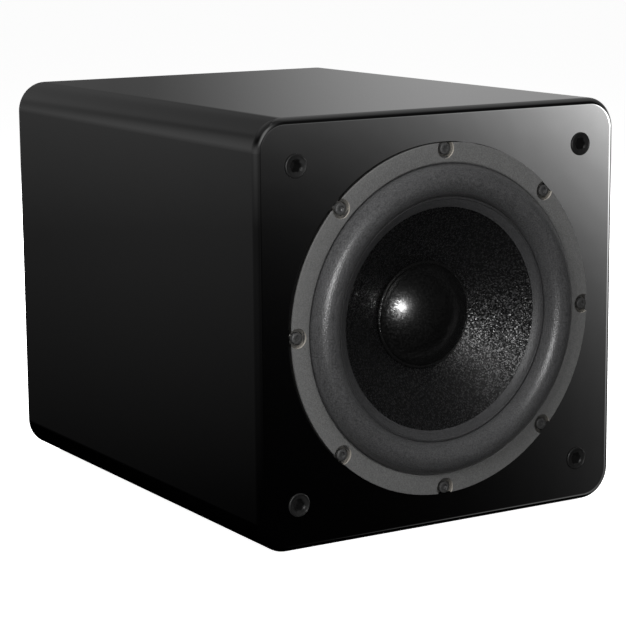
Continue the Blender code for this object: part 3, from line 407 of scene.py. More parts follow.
def finish_mesh(name, bm, looks, sharp=35, even=False):
    """Makes an object with smooth shading, and creases where faces meet more sharply than the angle."""
    bmesh.ops.recalc_face_normals(bm, faces=bm.faces)
    mesh = bpy.data.meshes.new(name)
    bm.to_mesh(mesh)
    bm.free()
    for look in looks:
        mesh.materials.append(look)
    mesh.shade_smooth()
    mesh.set_sharp_from_angle(angle=math.radians(sharp))
    made = bpy.data.objects.new(name, mesh)
    bpy.context.scene.collection.objects.link(made)
    if even:
        shade_evenly(made)
    return made


def shade_evenly(piece):
    """Lets the big flat faces keep flat shading beside their soft edges."""
    weigh = piece.modifiers.new("even", "WEIGHTED_NORMAL")
    weigh.keep_sharp = True
    weigh.weight = 100


def ring_of(outline, depth, origin=(0.0, 0.0, 0.0)):
    return [Vector((x + origin[0], depth + origin[1], z + origin[2])) for x, z in outline]


def circle(radius, points, centre=(0.0, 0.0)):
    return wavy_circle(lambda angle: radius, points, centre)


def wavy_circle(radius_at, points, centre=(0.0, 0.0)):
    angles = [math.tau * k / points for k in range(points)]
    return [
        (centre[0] + radius_at(a) * math.cos(a), centre[1] + radius_at(a) * math.sin(a))
        for a in angles
    ]


def rounded_rectangle(width, height, radius, steps, centre=(0.0, 0.0)):
    points = []
    for quarter in range(4):
        middle = math.radians(45 + 90 * quarter)
        x = math.copysign(width / 2 - radius, math.cos(middle)) + centre[0]
        z = math.copysign(height / 2 - radius, math.sin(middle)) + centre[1]
        for step in range(steps + 1):
            angle = math.radians(90 * quarter + 90 * step / steps)
            points.append((x + radius * math.cos(angle), z + radius * math.sin(angle)))
    return points


def skin(bm, first, second):
    """Joins two rings of vertices with faces. Either ring can be a single vertex."""
    count = max(len(first), len(second))
    faces = []
    for k in range(count):
        after = (k + 1) % count
        if len(first) == 1:
            corners = (first[0], second[k], second[after])
        elif len(second) == 1:
            corners = (first[k], second[0], first[after])
        else:
            corners = (first[k], second[k], second[after], first[after])
        faces.append(bm.faces.new(corners))
    return faces


def add_loft(bm, rings, finish=0):
    """Skins a row of rings and caps both ends. The finish is the faces' material index."""
    rows = [[bm.verts.new(point) for point in ring] for ring in rings]
    faces = [bm.faces.new(rows[0]), bm.faces.new(reversed(rows[-1]))]
    for first, second in zip(rows, rows[1:]):
        faces += skin(bm, first, second)
    for face in faces:
        face.material_index = finish


def lofted(name, rings, looks, **how):
    bm = bmesh.new()
    add_loft(bm, rings)
    return finish_mesh(name, bm, looks, **how)


def turned_mesh(profile, segments, origin):
    """Spins (radius, depth) points about the Y axis through the origin given."""
    bm = bmesh.new()
    rows = []
    for radius, depth in profile:
        if radius == 0:
            rows.append([bm.verts.new((origin[0], depth + origin[1], origin[2]))])
            continue
        ring = ring_of(circle(radius, segments), depth, origin)
        rows.append([bm.verts.new(point) for point in ring])
    pairs = list(zip(rows, rows[1:]))
    if profile[0][0] > 0 or profile[-1][0] > 0:
        pairs.append((rows[-1], rows[0]))
    for first, second in pairs:
        skin(bm, first, second)
    return bm


def turned(name, profile, looks, segments, origin=DRIVER):
    return finish_mesh(name, turned_mesh(profile, segments, origin), looks)


def ribbon(line, thickness):
    """The outline of a sheet of even thickness that follows a line of (radius, depth) points."""
    sides = ([], [])
    for k, point in enumerate(line):
        before = Vector(line[max(k - 1, 0)])
        after = Vector(line[min(k + 1, len(line) - 1)])
        along = (after - before).normalized()
        across = Vector((-along.y, along.x)) * thickness / 2
        if point[0] == 0:
            across = Vector((0, across.y))
        sides[0].append(tuple(Vector(point) + across))
        sides[1].append(tuple(Vector(point) - across))
    return sides[0] + sides[1][::-1]


def around(count, radius):
    """Even places round a circle, counted from its top."""
    angles = [math.pi / 2 + math.tau * k / count for k in range(count)]
    return [(radius * math.cos(a), radius * math.sin(a)) for a in angles]


def carve(piece, tools):
    """Cuts each tool out of the piece, and leaves a plain mesh."""
    weighing = [m for m in piece.modifiers if m.type == "WEIGHTED_NORMAL"]
    for old in weighing:
        piece.modifiers.remove(old)
    for tool in tools:
        cut = piece.modifiers.new("cut", "BOOLEAN")
        cut.operation = "DIFFERENCE"
        cut.solver = "EXACT"
        cut.object = tool
    graph = bpy.context.evaluated_depsgraph_get()
    result = bpy.data.meshes.new_from_object(piece.evaluated_get(graph))
    piece.modifiers.clear()
    piece.data = result
    for tool in tools:
        bpy.data.objects.remove(tool)
    result.shade_smooth()
    result.set_sharp_from_angle(angle=math.radians(30))
    if weighing:
        shade_evenly(piece)


def rods(name, places, radius, start, end, points=48):
    """Round rods along Y, to cut with. Depths are from the front face."""
    bm = bmesh.new()
    for place in places:
        outline = circle(radius, points, place)
        add_loft(bm, [ring_of(outline, start, DRIVER), ring_of(outline, end, DRIVER)])
    return finish_mesh(name, bm, [])


def stand_for(piece, nodes, body="cabinet"):
    """The piece rides on its body and is shown in place of the CAD nodes."""
    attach(piece, body)
    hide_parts(*nodes)


# ---------------------------------------------------------------- cabinet


def outer_ring(inset, depth):
    outline = rounded_rectangle(
        WIDTH - 2 * inset, HEIGHT - 2 * inset, LONG_EDGE_RADIUS - inset, 16, (0, AXIS_Z)
    )
    return ring_of(outline, depth)


def make_cabinet(looks):
    """The shell with its rounded edges, cut out for the driver and the grille's sockets."""
    steps = 8
    bends = [(math.sin(a), math.cos(a)) for a in (math.pi / 2 * k / steps for k in range(steps + 1))]
    rings = [
        outer_ring(FRONT_ROUNDOVER * (1 - sine), FRONT_Y + FRONT_ROUNDOVER * (1 - cosine))
        for sine, cosine in bends
    ]
    rings += [
        outer_ring(REAR_ROUNDOVER * (1 - cosine), REAR_Y - REAR_ROUNDOVER * (1 - sine))
        for sine, cosine in bends
    ]
    inside = rounded_rectangle(
        WIDTH - 2 * WALL, HEIGHT - 2 * WALL, INNER_CORNER_RADIUS, 16, (0, AXIS_Z)
    )
    rings.append(ring_of(inside, REAR_Y))
    rings.append(ring_of(inside, FRONT_Y + WALL))
    shell = lofted("cabinet_body", rings, [looks["lacquer"]], even=True)
    through = WALL + 0.005
    outline = [(0, -CUTTER_REACH), (REBATE_RADIUS, -CUTTER_REACH), (REBATE_RADIUS, REBATE_DEPTH)]
    outline += [(CUTOUT_RADIUS, REBATE_DEPTH), (CUTOUT_RADIUS, through), (0, through)]
    driver_hole = turned("driver_hole", outline, [], 192)
    corners = [(x, z) for x in (-SOCKET_X, SOCKET_X) for z in (-SOCKET_Z, SOCKET_Z)]
    slack = 0.0004
    socket_holes = rods(
        "socket_holes", corners, SOCKET_BODY_RADIUS + slack, -CUTTER_REACH, SOCKET_DEPTH + 0.0005
    )
    carve(shell, [driver_hole, socket_holes])
    stand_for(shell, ["cabinet_shell"])


def make_grille_sockets(looks):
    """Push-in cups with a thin lip and a six-lobed hole. The hole's inside is painted near black: painted
    shade.
    """
    points = 96
    soft = 0.0004

    def star(angle):
        return SOCKET_HOLE_RADIUS + SOCKET_LOBE_HEIGHT * math.cos(SOCKET_LOBES * angle)

    profile = [
        *SOCKET_LIP,
        (SOCKET_LIP_RADIUS - 0.0002, -0.0009),
        (SOCKET_LIP_RADIUS, -0.0006),
        (SOCKET_LIP_RADIUS, -GAP),
        (SOCKET_BODY_RADIUS, -GAP),
        (SOCKET_BODY_RADIUS, SOCKET_DEPTH),
    ]
    for side, x in (("left", -SOCKET_X), ("right", SOCKET_X)):
        for level, z in (("top", SOCKET_Z), ("bottom", -SOCKET_Z)):
            origin = (x, FRONT_Y, AXIS_Z + z)
            hole = wavy_circle(star, points)
            mouth = wavy_circle(lambda a: star(a) + soft, points)
            rings = [ring_of(hole, SOCKET_FLOOR, origin), ring_of(hole, 0.0005, origin)]
            rings.append(ring_of(mouth, 0.0, origin))
            rings += [ring_of(circle(radius, points), depth, origin) for radius, depth in profile]
            cup = lofted(f"socket_cup_{level}_{side}", rings, [looks["cup"], looks["painted_hole_shade"]])
            # Faces inside the hole take the near-black finish: painted shade.
            for face in cup.data.polygons:
                reach = math.hypot(face.center.x - x, face.center.z - AXIS_Z - z)
                if reach < SOCKET_LIP[0][0] - soft and face.center.y > FRONT_Y + 0.0006:
                    face.material_index = 1
            stand_for(cup, [f"grille_socket_{level}_{side}"])


def make_feet(looks):
    top = FOOT_HEIGHT - GAP
    profile = [*FOOT_PROFILE, (FOOT_TOP_RADIUS, top), (0, top)]
    foot_x, foot_y = FOOT_PLACES
    for row, y in (("front", -foot_y), ("rear", foot_y)):
        for side, x in (("left", -foot_x), ("right", foot_x)):
            bm = turned_mesh([(r, -z) for r, z in profile], 64, (0, 0, 0))
            bm.transform(Matrix.Translation((x, y, 0)) @ Matrix.Rotation(-math.pi / 2, 4, "X"))
            foot = finish_mesh(f"rubber_foot_{row}_{side}", bm, [looks["plastic"]])
            stand_for(foot, [f"foot_{row}_{side}"])


# ---------------------------------------------------------------- driver


def cone_depth(radius):
    return CONE_SEEN_DEPTH + (CONE_SEEN_RADIUS - radius) * math.tan(CONE_SLOPE)


def make_trim_ring(looks):
    """The grained ring, its edges softened and its notches open to the outside."""
    soft = 0.0002
    inner = RING_INNER_RADIUS
    profile = [
        (RING_RADIUS, RING_BACK),
        (RING_RADIUS, RING_FRONT + soft),
        (RING_RADIUS - soft, RING_FRONT),
        (inner + 0.0016, RING_FRONT),
        (inner + 0.0009, RING_FRONT + 0.0002),
        (inner + 0.0003, RING_FRONT + 0.0007),
        (inner, RING_FRONT + 0.0014),
        (inner, RING_BACK),
    ]
    ring = turned("grained_ring", profile, [looks["ring"], looks["ring_edge"]], 256)
    places = around(BOLT_COUNT, BOLT_CIRCLE)
    notches = rods("notches", places, NOTCH_RADIUS, -CUTTER_REACH, CUTTER_REACH)
    carve(ring, [notches])
    centre = Vector((0, 0, AXIS_Z))
    for face in ring.data.polygons:
        spot = face.center - centre
        for x, z in places:
            near = math.hypot(spot.x - x, spot.z - z)
            if abs(near - NOTCH_RADIUS) < 0.0002 and abs(face.normal.y) < 0.2:
                face.material_index = 1
    stand_for(ring, ["trim_ring"])


def make_basket(looks):
    """The casting, with counterbored screw holes and windows in its cage."""
    basket = turned("cast_frame", BASKET_PROFILE, [looks["casting"]], 128)
    places = around(BOLT_COUNT, BOLT_CIRCLE)
    bores = rods("bores", places, BORE_RADIUS, -CUTTER_REACH, BORE_DEPTH, 40)
    holes = rods("holes", places, SCREW_HOLE_RADIUS, -CUTTER_REACH, 2 * CUTTER_REACH, 24)
    outline = rounded_rectangle(*WINDOW_SIZE, WINDOW_CORNER, 4, (0.0, WINDOW_DISTANCE))
    bm = bmesh.new()
    for k in range(WINDOW_COUNT):
        part = bmesh.new()
        add_loft(part, [ring_of(outline, depth) for depth in WINDOW_DEPTHS])
        part.transform(Matrix.Rotation(math.tau * k / WINDOW_COUNT, 4, "Y"))
        scratch = bpy.data.meshes.new("window")
        part.to_mesh(scratch)
        part.free()
        bm.from_mesh(scratch)
        bpy.data.meshes.remove(scratch)
    bm.transform(Matrix.Translation((0, FRONT_Y, AXIS_Z)))
    windows = finish_mesh("windows", bm, [])
    carve(basket, [windows, bores, holes])
    stand_for(basket, ["driver_basket"])


def socket_head_rings(head, height, shaft, length):
    """A cap screw, as outlines with their distances behind the head's face. Head and shaft are radii."""
    points = 48
    flat = 0.48 * head
    soft = 0.10 * head

    def hexagon(angle):
        return flat / math.cos((angle + math.pi / 6) % (math.pi / 3) - math.pi / 6)

    return [
        (wavy_circle(hexagon, points), 0.55 * height),
        (wavy_circle(hexagon, points), 0.0002),
        (wavy_circle(lambda a: hexagon(a) + 0.0002, points), 0.0),
        (circle(head - soft, points), 0.0),
        (circle(head - 0.3 * soft, points), 0.3 * soft),
        (circle(head, points), soft),
        (circle(head, points), height),
        (circle(shaft, points), height),
        (circle(shaft, points), height + length),
    ]


def make_driver_screws(looks):
    rows = socket_head_rings(head=0.0050, height=0.0045, shaft=0.0029, length=0.018)
    for number, (x, z) in enumerate(around(BOLT_COUNT, BOLT_CIRCLE), start=1):
        origin = Vector((x, FRONT_Y + SCREW_FACE, AXIS_Z + z))
        turn = Matrix.Rotation(0.7 * number, 4, "Y")
        rings = [[origin + turn @ p for p in ring_of(line, depth)] for line, depth in rows]
        screw = lofted(f"cap_screw_{number}", rings, [looks["black_steel"]])
        stand_for(screw, [f"driver_screw_{number}"])


def surround_line():
    """The surround from its outer lip over the half roll to the inner lip on the cone."""
    base = FLANGE_FRONT + SKIN / 2
    height = PROUD + base - SKIN / 2
    line = [(RING_INNER_RADIUS + 0.0051, base), (ROLL_MIDDLE + ROLL_HALF_WIDTH + 0.0008, base)]
    steps = 28
    for step in range(steps + 1):
        angle = math.radians(180 * step / steps)
        radius = ROLL_MIDDLE + ROLL_HALF_WIDTH * math.cos(angle)
        line.append((radius, base - height * math.sin(angle) ** 0.9))
    line += [(radius, base + depth) for radius, depth in MOULDED_STEP]
    off_cone = (CONE_THICKNESS / 2 + SKIN / 2 + GAP) / math.cos(CONE_SLOPE)
    lip_start = 0.1050
    steps = 8
    for k in range(steps + 1):
        radius = lip_start - k * (lip_start - CONE_SEEN_RADIUS) / steps
        bulge = 0.0004 * math.sin(math.pi * k / steps)
        line.append((radius, cone_depth(radius) - off_cone - bulge))
    return line


def make_surround(looks):
    line = surround_line()
    finishes = [looks["rubber"], looks["lip"]]
    surround = turned("roll_surround", ribbon(line, SKIN), finishes, 192)
    # Faces inside the lip's radius take the darker copy of the rubber: painted shade.
    for face in surround.data.polygons:
        if math.hypot(face.center.x, face.center.z - AXIS_Z) < LIP_RADIUS:
            face.material_index = 1
    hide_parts("surround")
    flex(surround, *SURROUND_FLEX)


def flex(piece, still_radius, moving_radius):
    """A skin between the cabinet and the cone, its placement baked into its mesh. It does not bend."""
    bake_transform(piece)


def make_inner_flex(nodes):
    """The spider and the two leads keep their CAD shapes, between the frame and the cone. They don't
    bend.
    """
    for name, slot, still_radius, moving_radius in INNER_FLEX:
        piece = bpy.data.objects.new(f"flexing_{name}", nodes[name].data.copy())
        bpy.context.scene.collection.objects.link(piece)
        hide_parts(name)
        flex(piece, still_radius, moving_radius)


def make_cone(looks):
    radii = [NECK_RADIUS + k * (CONE_EDGE_RADIUS - NECK_RADIUS) / 12 for k in range(13)]
    sheet = [(radius, cone_depth(radius)) for radius in radii]
    cone = turned("woven_cone", ribbon(sheet, CONE_THICKNESS), [looks["cone"]], 192)
    stand_for(cone, ["cone"], "cone_assembly")


def make_dust_cap(looks):
    """A dome on a bead of glue."""
    sphere = (CAP_RADIUS**2 + CAP_HEIGHT**2) / (2 * CAP_HEIGHT)
    rim = cone_depth(CAP_RADIUS) - (CONE_THICKNESS / 2 + CAP_THICKNESS + GAP)
    middle = rim - CAP_HEIGHT + sphere
    edge_angle = math.asin(CAP_RADIUS / sphere)
    steps = 20
    line = []
    for k in range(steps + 1):
        angle = edge_angle * k / steps
        line.append((sphere * math.sin(angle), middle - sphere * math.cos(angle)))
    line = [point for point in line if point[0] < CAP_DOME_RADIUS]
    seat = rim - 0.0001
    line += [(radius, seat - height) for radius, height in CAP_BEAD]
    finishes = [looks["cap"], looks["bead"]]
    cap = turned("domed_cap", ribbon(line, CAP_THICKNESS), finishes, 160)
    for face in cap.data.polygons:
        if math.hypot(face.center.x, face.center.z - AXIS_Z) > CAP_DOME_RADIUS + 0.0001:
            face.material_index = 1
    stand_for(cap, ["dust_cap"], "cone_assembly")


# ---------------------------------------------------------------- amplifier


def behind(x=0.0, z=0.0):
    """The point on the rear face that a piece's distances are measured from."""
    return (x, REAR_Y, AXIS_Z + z)


def rear_rings(rows, place):
    return [ring_of(outline, distance, place) for outline, distance in rows]


def add_block(bm, low, high, place, finish=0):
    """A plain block between two corners, given from a place on the rear face."""
    outline = [(low[0], low[2]), (high[0], low[2]), (high[0], high[2]), (low[0], high[2])]
    add_loft(bm, rear_rings([(outline, low[1]), (outline, high[1])], place), finish)


def amp_screw_places():
    return [
        (x, z) for z in (AMP_SCREW_Z, 0, -AMP_SCREW_Z) for x in (-AMP_SCREW_X, AMP_SCREW_X)
    ]


def plate_holes():
    """Cutters for the plate's controls, sockets and screws."""
    through = (AMP_BACK - 0.002, AMP_FACE + 0.002)
    bm = bmesh.new()
    round_holes = [(x, KNOB_Z, KNOB_HOLE_RADIUS) for x in KNOBS.values()]
    round_holes.append((LED_X, KNOB_Z, LED_HOLE_RADIUS))
    round_holes += [(x, z, AMP_SCREW_HOLE_RADIUS) for x, z in amp_screw_places()]
    for x, z, radius in round_holes:
        add_loft(bm, rear_rings([(circle(radius, 32), y) for y in through], behind(x, z)))
    slots = (
        (SWITCH_X, KNOB_Z, SWITCH_SLOT),
        (INLET_X, SOCKET_ROW_Z, INLET_CUT),
        (ROCKER_X, SOCKET_ROW_Z, ROCKER_CUT),
    )
    for x, z, size in slots:
        outline = rounded_rectangle(*size, 0.001, 4)
        add_loft(bm, rear_rings([(outline, y) for y in through], behind(x, z)))
    return finish_mesh("plate_holes", bm, [])


def make_amp_plate(looks):
    """The soft-edged plate, with its controls' and screws' holes cut."""
    soft = 0.0007
    rows = [(rounded_rectangle(AMP_WIDTH, AMP_HEIGHT, AMP_CORNER, 8), AMP_BACK)]
    for share in (0.0, 0.4, 0.8, 1.0):
        angle = math.pi / 2 * share
        inset = soft * (1 - math.cos(angle))
        outline = rounded_rectangle(
            AMP_WIDTH - 2 * inset, AMP_HEIGHT - 2 * inset, AMP_CORNER - inset, 8
        )
        rows.append((outline, AMP_FACE - soft * (1 - math.sin(angle))))
    plate = lofted(
        "amplifier_plate", rear_rings(rows, behind()), [looks["plate"]], even=True
    )
    carve(plate, [plate_holes()])
    stand_for(plate, ["amp_plate"])


def make_dial_dots(looks):
    """A ring of plain dots round each knob, the middle one and the last ones larger."""
    bm = bmesh.new()
    for x in KNOBS.values():
        for k in range(DOTS):
            angle = KNOB_TURN * (2 * k / (DOTS - 1) - 1)
            centre = (DOT_CIRCLE * math.sin(angle), DOT_CIRCLE * math.cos(angle))
            radius = END_DOT_RADIUS if k in (0, DOTS // 2, DOTS - 1) else DOT_RADIUS
            rows = [(circle(radius, 12, centre), AMP_FACE + y) for y in (-0.0002, 0.00005)]
            add_loft(bm, rear_rings(rows, behind(x, KNOB_Z)))
    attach(finish_mesh("dial_dots", bm, [looks["mark"]]), "cabinet")


def make_amp_screws(looks):
    rows = socket_head_rings(head=0.0040, height=AMP_SCREW_HEAD, shaft=0.0019, length=0.0170)
    for number, (x, z) in enumerate(amp_screw_places(), start=1):
        turn = Matrix.Rotation(math.pi, 4, "Z") @ Matrix.Rotation(0.9 * number, 4, "Y")
        origin = Vector(behind(x, z)) + Vector((0, ON_FACE + AMP_SCREW_HEAD, 0))
        rings = [[origin + turn @ p for p in ring_of(line, depth)] for line, depth in rows]
        screw = lofted(f"panel_screw_{number}", rings, [looks["black_steel"]])
        stand_for(screw, [f"amp_screw_{number}"])


def make_heat_sink(looks):
    """The finned extrusion, its fin tips and roots rounded."""
    fins, fin, pitch = 17, 0.0022, 0.0115
    base = ON_FACE + 0.0025
    tip = PROUD - GAP
    left = -(pitch * (fins - 1) + fin) / 2
    outline = [(left, ON_FACE)]
    for k in range(fins):
        start = left + k * pitch
        end = start + fin
        root = [] if k == 0 else [(start - 0.0008, base), (start, base + 0.0008)]
        outline += root + [(start, tip - 0.0006), (start + 0.0002, tip - 0.0002)]
        outline += [(start + 0.0007, tip), (end - 0.0007, tip), (end - 0.0002, tip - 0.0002)]
        outline += [(end, tip - 0.0006)]
        outline += [] if k == fins - 1 else [(end, base + 0.0008), (end + 0.0008, base)]
    outline.append((-left, ON_FACE))
    rings = [[Vector((x, REAR_Y + y, AXIS_Z + z)) for x, y in outline] for z in SINK_SPAN]
    sink = lofted("finned_heat_sink", rings, [looks["heat_sink"]], sharp=40)
    stand_for(sink, ["heat_sink"])


def make_knobs(looks):
    """Fluted knobs, each with a pointer line let into its face."""
    flutes = 24
    points = 8 * flutes

    def fluted(radius):
        return wavy_circle(lambda a: radius - 0.0002 * math.cos(flutes * a), points)

    grip = KNOB_RADIUS - 0.0017
    rows = [
        (circle(KNOB_SHAFT_RADIUS, points), KNOB_SHAFT_END),
        (circle(KNOB_SHAFT_RADIUS, points), ON_FACE),
        (circle(KNOB_RADIUS - 0.0002, points), ON_FACE),
        (circle(KNOB_RADIUS, points), ON_FACE + 0.0002),
        (circle(KNOB_RADIUS, points), ON_FACE + 0.0009),
        (circle(KNOB_RADIUS - 0.0003, points), ON_FACE + 0.0012),
        (fluted(grip), ON_FACE + 0.0020),
        (fluted(grip - 0.0006), PROUD - 0.0012),
        (circle(grip - 0.0011, points), PROUD - 0.0006),
        (circle(grip - 0.0018, points), PROUD - 0.0001),
        (circle(grip - 0.0024, points), PROUD - 0.0001),
        (circle(grip - 0.0028, points), PROUD - 0.0004),
    ]
    for name, x in KNOBS.items():
        place = behind(x, KNOB_Z)
        bm = bmesh.new()
        add_loft(bm, rear_rings(rows, place))
        low = (-0.0005, PROUD - 0.0008, 0.0022)
        add_block(bm, low, (0.0005, PROUD - 0.00005, grip - 0.0012), place, 1)
        knob = finish_mesh(f"fluted_{name}", bm, [looks["plastic"], looks["mark"]])
        stand_for(knob, [name], name)


def make_standby_switch(looks):
    """The slide switch's nub with its grip ridges."""
    place = behind(SWITCH_X - SWITCH_TRAVEL / 2, KNOB_Z)
    rows = [(0.0076, AMP_BACK - 0.003), (0.0076, AMP_FACE), (0.0074, AMP_FACE + 0.0016)]
    bm = bmesh.new()
    outlines = [(rounded_rectangle(width, 0.0044, GAP, 3), y) for width, y in rows]
    add_loft(bm, rear_rings(outlines, place))
    for k in range(4):
        x = -0.0028 + k * 0.00187
        low = (x - 0.0004, AMP_FACE + 0.0012, -0.0020)
        add_block(bm, low, (x + 0.0004, AMP_FACE + 0.0030, 0.0020), place)
    nub = finish_mesh("ridged_nub", bm, [looks["plastic"]])
    stand_for(nub, ["standby_switch"], "standby_switch")


def make_lamp(looks):
    steps = 8
    end = -0.0040
    height = 0.0018
    dome = [(0, end), (LED_RADIUS, end), (LED_RADIUS, AMP_FACE)]
    for k in range(1, steps + 1):
        angle = math.pi / 2 * k / steps
        dome.append((LED_RADIUS * math.cos(angle), AMP_FACE + height * math.sin(angle)))
    dome[-1] = (0, dome[-1][1])
    lamp = turned("lamp_dome", dome, [looks["lamp"]], 48, behind(LED_X, KNOB_Z))
    stand_for(lamp, ["power_lamp"])


def housing_rows(flange, body, mouth, floor):
    """An open box with a soft-edged flange: floor, mouth, flange, and the body behind the plate."""
    lip = ON_FACE + 0.0018
    steps = 6
    soft = 0.0005
    inner = (flange[0] - 2 * soft, flange[1] - 2 * soft)
    wide = (mouth[0] + 2 * soft, mouth[1] + 2 * soft)
    return [
        (rounded_rectangle(*mouth, 0.002, steps), floor),
        (rounded_rectangle(*mouth, 0.002, steps), lip - soft),
        (rounded_rectangle(*wide, 0.002, steps), lip),
        (rounded_rectangle(*inner, 0.002, steps), lip),
        (rounded_rectangle(*flange, 0.002, steps), lip - soft),
        (rounded_rectangle(*flange, 0.002, steps), ON_FACE),
        (rounded_rectangle(*body, 0.001, steps), ON_FACE),
        (rounded_rectangle(*body, 0.001, steps), -0.0180),
    ]


def make_power_entry(looks):
    """The mains inlet with its three pins, and the frame of the power switch."""
    place = behind(INLET_X, SOCKET_ROW_Z)
    bm = bmesh.new()
    rows = housing_rows(
        flange=(0.0340, 0.0270), body=(0.0282, 0.0202), mouth=(0.0250, 0.0170), floor=-0.0130
    )
    add_loft(bm, rear_rings(rows, place))
    for x, z in ((-0.007, -0.002), (0, 0.002), (0.007, -0.002)):
        low = (x - 0.001, -0.0135, z - 0.002)
        add_block(bm, low, (x + 0.001, -0.0010, z + 0.002), place, 1)
    inlet = finish_mesh("mains_inlet", bm, [looks["plastic"], looks["plated"]])
    stand_for(inlet, ["power_inlet"])

    place = behind(ROCKER_X, SOCKET_ROW_Z)
    rows = housing_rows(
        flange=(0.0215, 0.0295), body=(0.0172, 0.0252), mouth=(0.0140, 0.0220), floor=-0.0080
    )
    frame = lofted("switch_frame", rear_rings(rows, place), [looks["plastic"]])
    stand_for(frame, ["power_switch_housing"])
    make_rocker(looks, Vector(place) + Vector((0, AMP_FACE + 0.0005, 0)))


def make_rocker(looks, pivot):
    """The rocker, hollowed to either side of its ridge, and pressed in at its lower end."""
    end, ridge = 0.0100, 0.0020
    rise = end * math.tan(ROCKER_TILT)
    steps = 10
    outline = [(-end, -0.0010)]
    for k in range(-steps, steps + 1):
        z = end * k / steps
        lift = ridge + rise * (abs(k) / steps) ** 1.5
        outline.append((z * 0.985 if abs(k) == steps else z, lift))
    outline += [(end, -0.0010), (0.0040, -0.0050), (-0.0040, -0.0050)]
    lean = Matrix.Rotation(-ROCKER_TILT, 4, "X")
    rings = []
    for x, inset in ((-0.0064, 0.0003), (-0.0061, 0.0), (0.0061, 0.0), (0.0064, 0.0003)):
        rings.append([pivot + lean @ Vector((x, y - inset, z)) for z, y in outline])
    rocker = lofted("rocker_button", rings, [looks["plastic"]], sharp=40)
    stand_for(rocker, ["power_rocker"], "power_rocker")


def make_jacks(looks):
    """Four phono sockets on a moulded block: plated sleeves round red and white insulators."""
    place = behind(JACK_X, SOCKET_ROW_Z)
    face = ON_FACE + 0.0020
    soft = 0.0005
    bm = bmesh.new()
    rows = [
        (rounded_rectangle(*JACK_BLOCK, 0.002, 6), ON_FACE),
        (rounded_rectangle(*JACK_BLOCK, 0.002, 6), face - soft),
        (rounded_rectangle(*(size - 2 * soft for size in JACK_BLOCK), 0.002, 6), face),
    ]
    add_loft(bm, rear_rings(rows, place))
    end = PROUD - 0.0010
    sleeve = [(0.0042, face - 0.0005), (0.0042, end - 0.0003), (0.0040, end)]
    sleeve += [(0.0036, end), (0.0035, end - 0.0003), (0.0035, face - 0.0005)]
    core = [(0.0035, face), (0.0035, end - 0.0006), (0.0017, end - 0.0006), (0.0017, face + 0.001)]
    across, rise = JACK_SPREAD
    for x in (-across, across):
        for z, finish in ((-rise, 2), (rise, 3)):
            for profile, number in ((sleeve, 1), (core, finish)):
                circles = [(circle(radius, 48, (x, z)), y) for radius, y in profile]
                add_loft(bm, rear_rings(circles, place), number)
    finishes = [looks[name] for name in ("plastic", "plated", "red", "white")]
    stand_for(finish_mesh("phono_sockets", bm, finishes), ["line_jacks"])


# ---------------------------------------------------------------- stage


def make_floor():
    bm = bmesh.new()
    bmesh.ops.create_grid(bm, x_segments=1, y_segments=1, size=150)
    look = bpy.data.materials.new("pale_floor")
    look.use_nodes = True
    tree = look.node_tree
    tree.nodes.clear()
    glow = node(look, "ShaderNodeEmission", {"Color": (1, 1, 1, 1), "Strength": 0.97})
    matt = node(look, "ShaderNodeBsdfDiffuse", {"Color": (0.8, 0.8, 0.8, 1)})
    both = node(
        look, "ShaderNodeAddShader", {0: glow.outputs["Emission"], 1: matt.outputs["BSDF"]}
    )
    out = node(look, "ShaderNodeOutputMaterial", {"Surface": both.outputs["Shader"]})
    out.is_active_output = True
    floor = finish_mesh("floor", bm, [look])
    floor.visible_glossy = False
    floor.visible_diffuse = False


def area_light(name, azimuth, elevation, distance, size, power, target=DRIVER):
    """A soft box aimed at the target. Azimuth is counted from the front, positive to the right."""
    light = bpy.data.lights.new(name, "AREA")
    light.shape = "DISK"
    light.size = size
    light.energy = power
    a, e = math.radians(azimuth), math.radians(elevation)
    away = Vector((math.sin(a) * math.cos(e), -math.cos(a) * math.cos(e), math.sin(e)))
    lamp = bpy.data.objects.new(name, light)
    lamp.location = Vector(target) + distance * away
    lamp.rotation_euler = away.to_track_quat("Z", "Y").to_euler()
    bpy.context.scene.collection.objects.link(lamp)
    return lamp


def share_of(value, low, high):
    """How far a value is from low to high, kept between 0 and 1. Low can be the larger."""
    return min(max((value - low) / (high - low), 0.0), 1.0)


def soft_step(value, low, high):
    share = share_of(value, low, high)
    return share * share * (3 - 2 * share)


def bell(value, centre, width):
    return math.exp(-(((value - centre) / width) ** 2) / 2)


def turn_from(azimuth, middle):
    """The angle between two azimuths, the short way round."""
    return abs((azimuth - middle + 180) % 360 - 180)


def front_wall(azimuth, elevation):
    """The bright wall at the front right, which fades fast towards the floor and the middle.

    Its level's logarithm is a quadratic in how far across the wall and up it a direction is.
    """
    across = min(max((145 - azimuth) / 5, -1.2), 1.5)
    rise = min(max((elevation + 10) / 5, -1.4), 1.25)
    power = -1.568 + 1.929 * across + 2.26 * rise
    power += 0.251 * across**2 + 0.365 * rise**2 - 0.397 * across * rise
    power += 0.30 * soft_step(across, -1.0, 0.6) * (1 - soft_step(rise, 0.6, 1.2))
    side = soft_step(azimuth, 108, 134) * (1 - soft_step(azimuth, 152, 165))
    return math.exp(power) * side * (1 - soft_step(elevation, -2, 7))


def back_left_wall(azimuth, elevation):
    """What the left side and the top's left part mirror. It dims downward."""
    level = 0.42 * bell(azimuth, -35, 34) * share_of(elevation, -17.5, 2) ** 1.5
    level *= 1 - 0.43 * bell(azimuth, -22.5, 3.0)
    return level * (1 - 0.45 * soft_step(elevation, 5, 35))


def right_walls(azimuth, elevation):
    """A dim wall at the back right, and a bright low one to the right of it."""
    dim = 0.40 * soft_step(azimuth, 26, 35.5) * share_of(elevation, -15, -4)
    bright = 1.9 * soft_step(azimuth, 38, 58) * share_of(elevation, -15.5, -5) ** 1.6
    bright *= 1 - soft_step(elevation, 4, 16)
    return (dim + bright) * (1 - soft_step(azimuth, 112, 132))


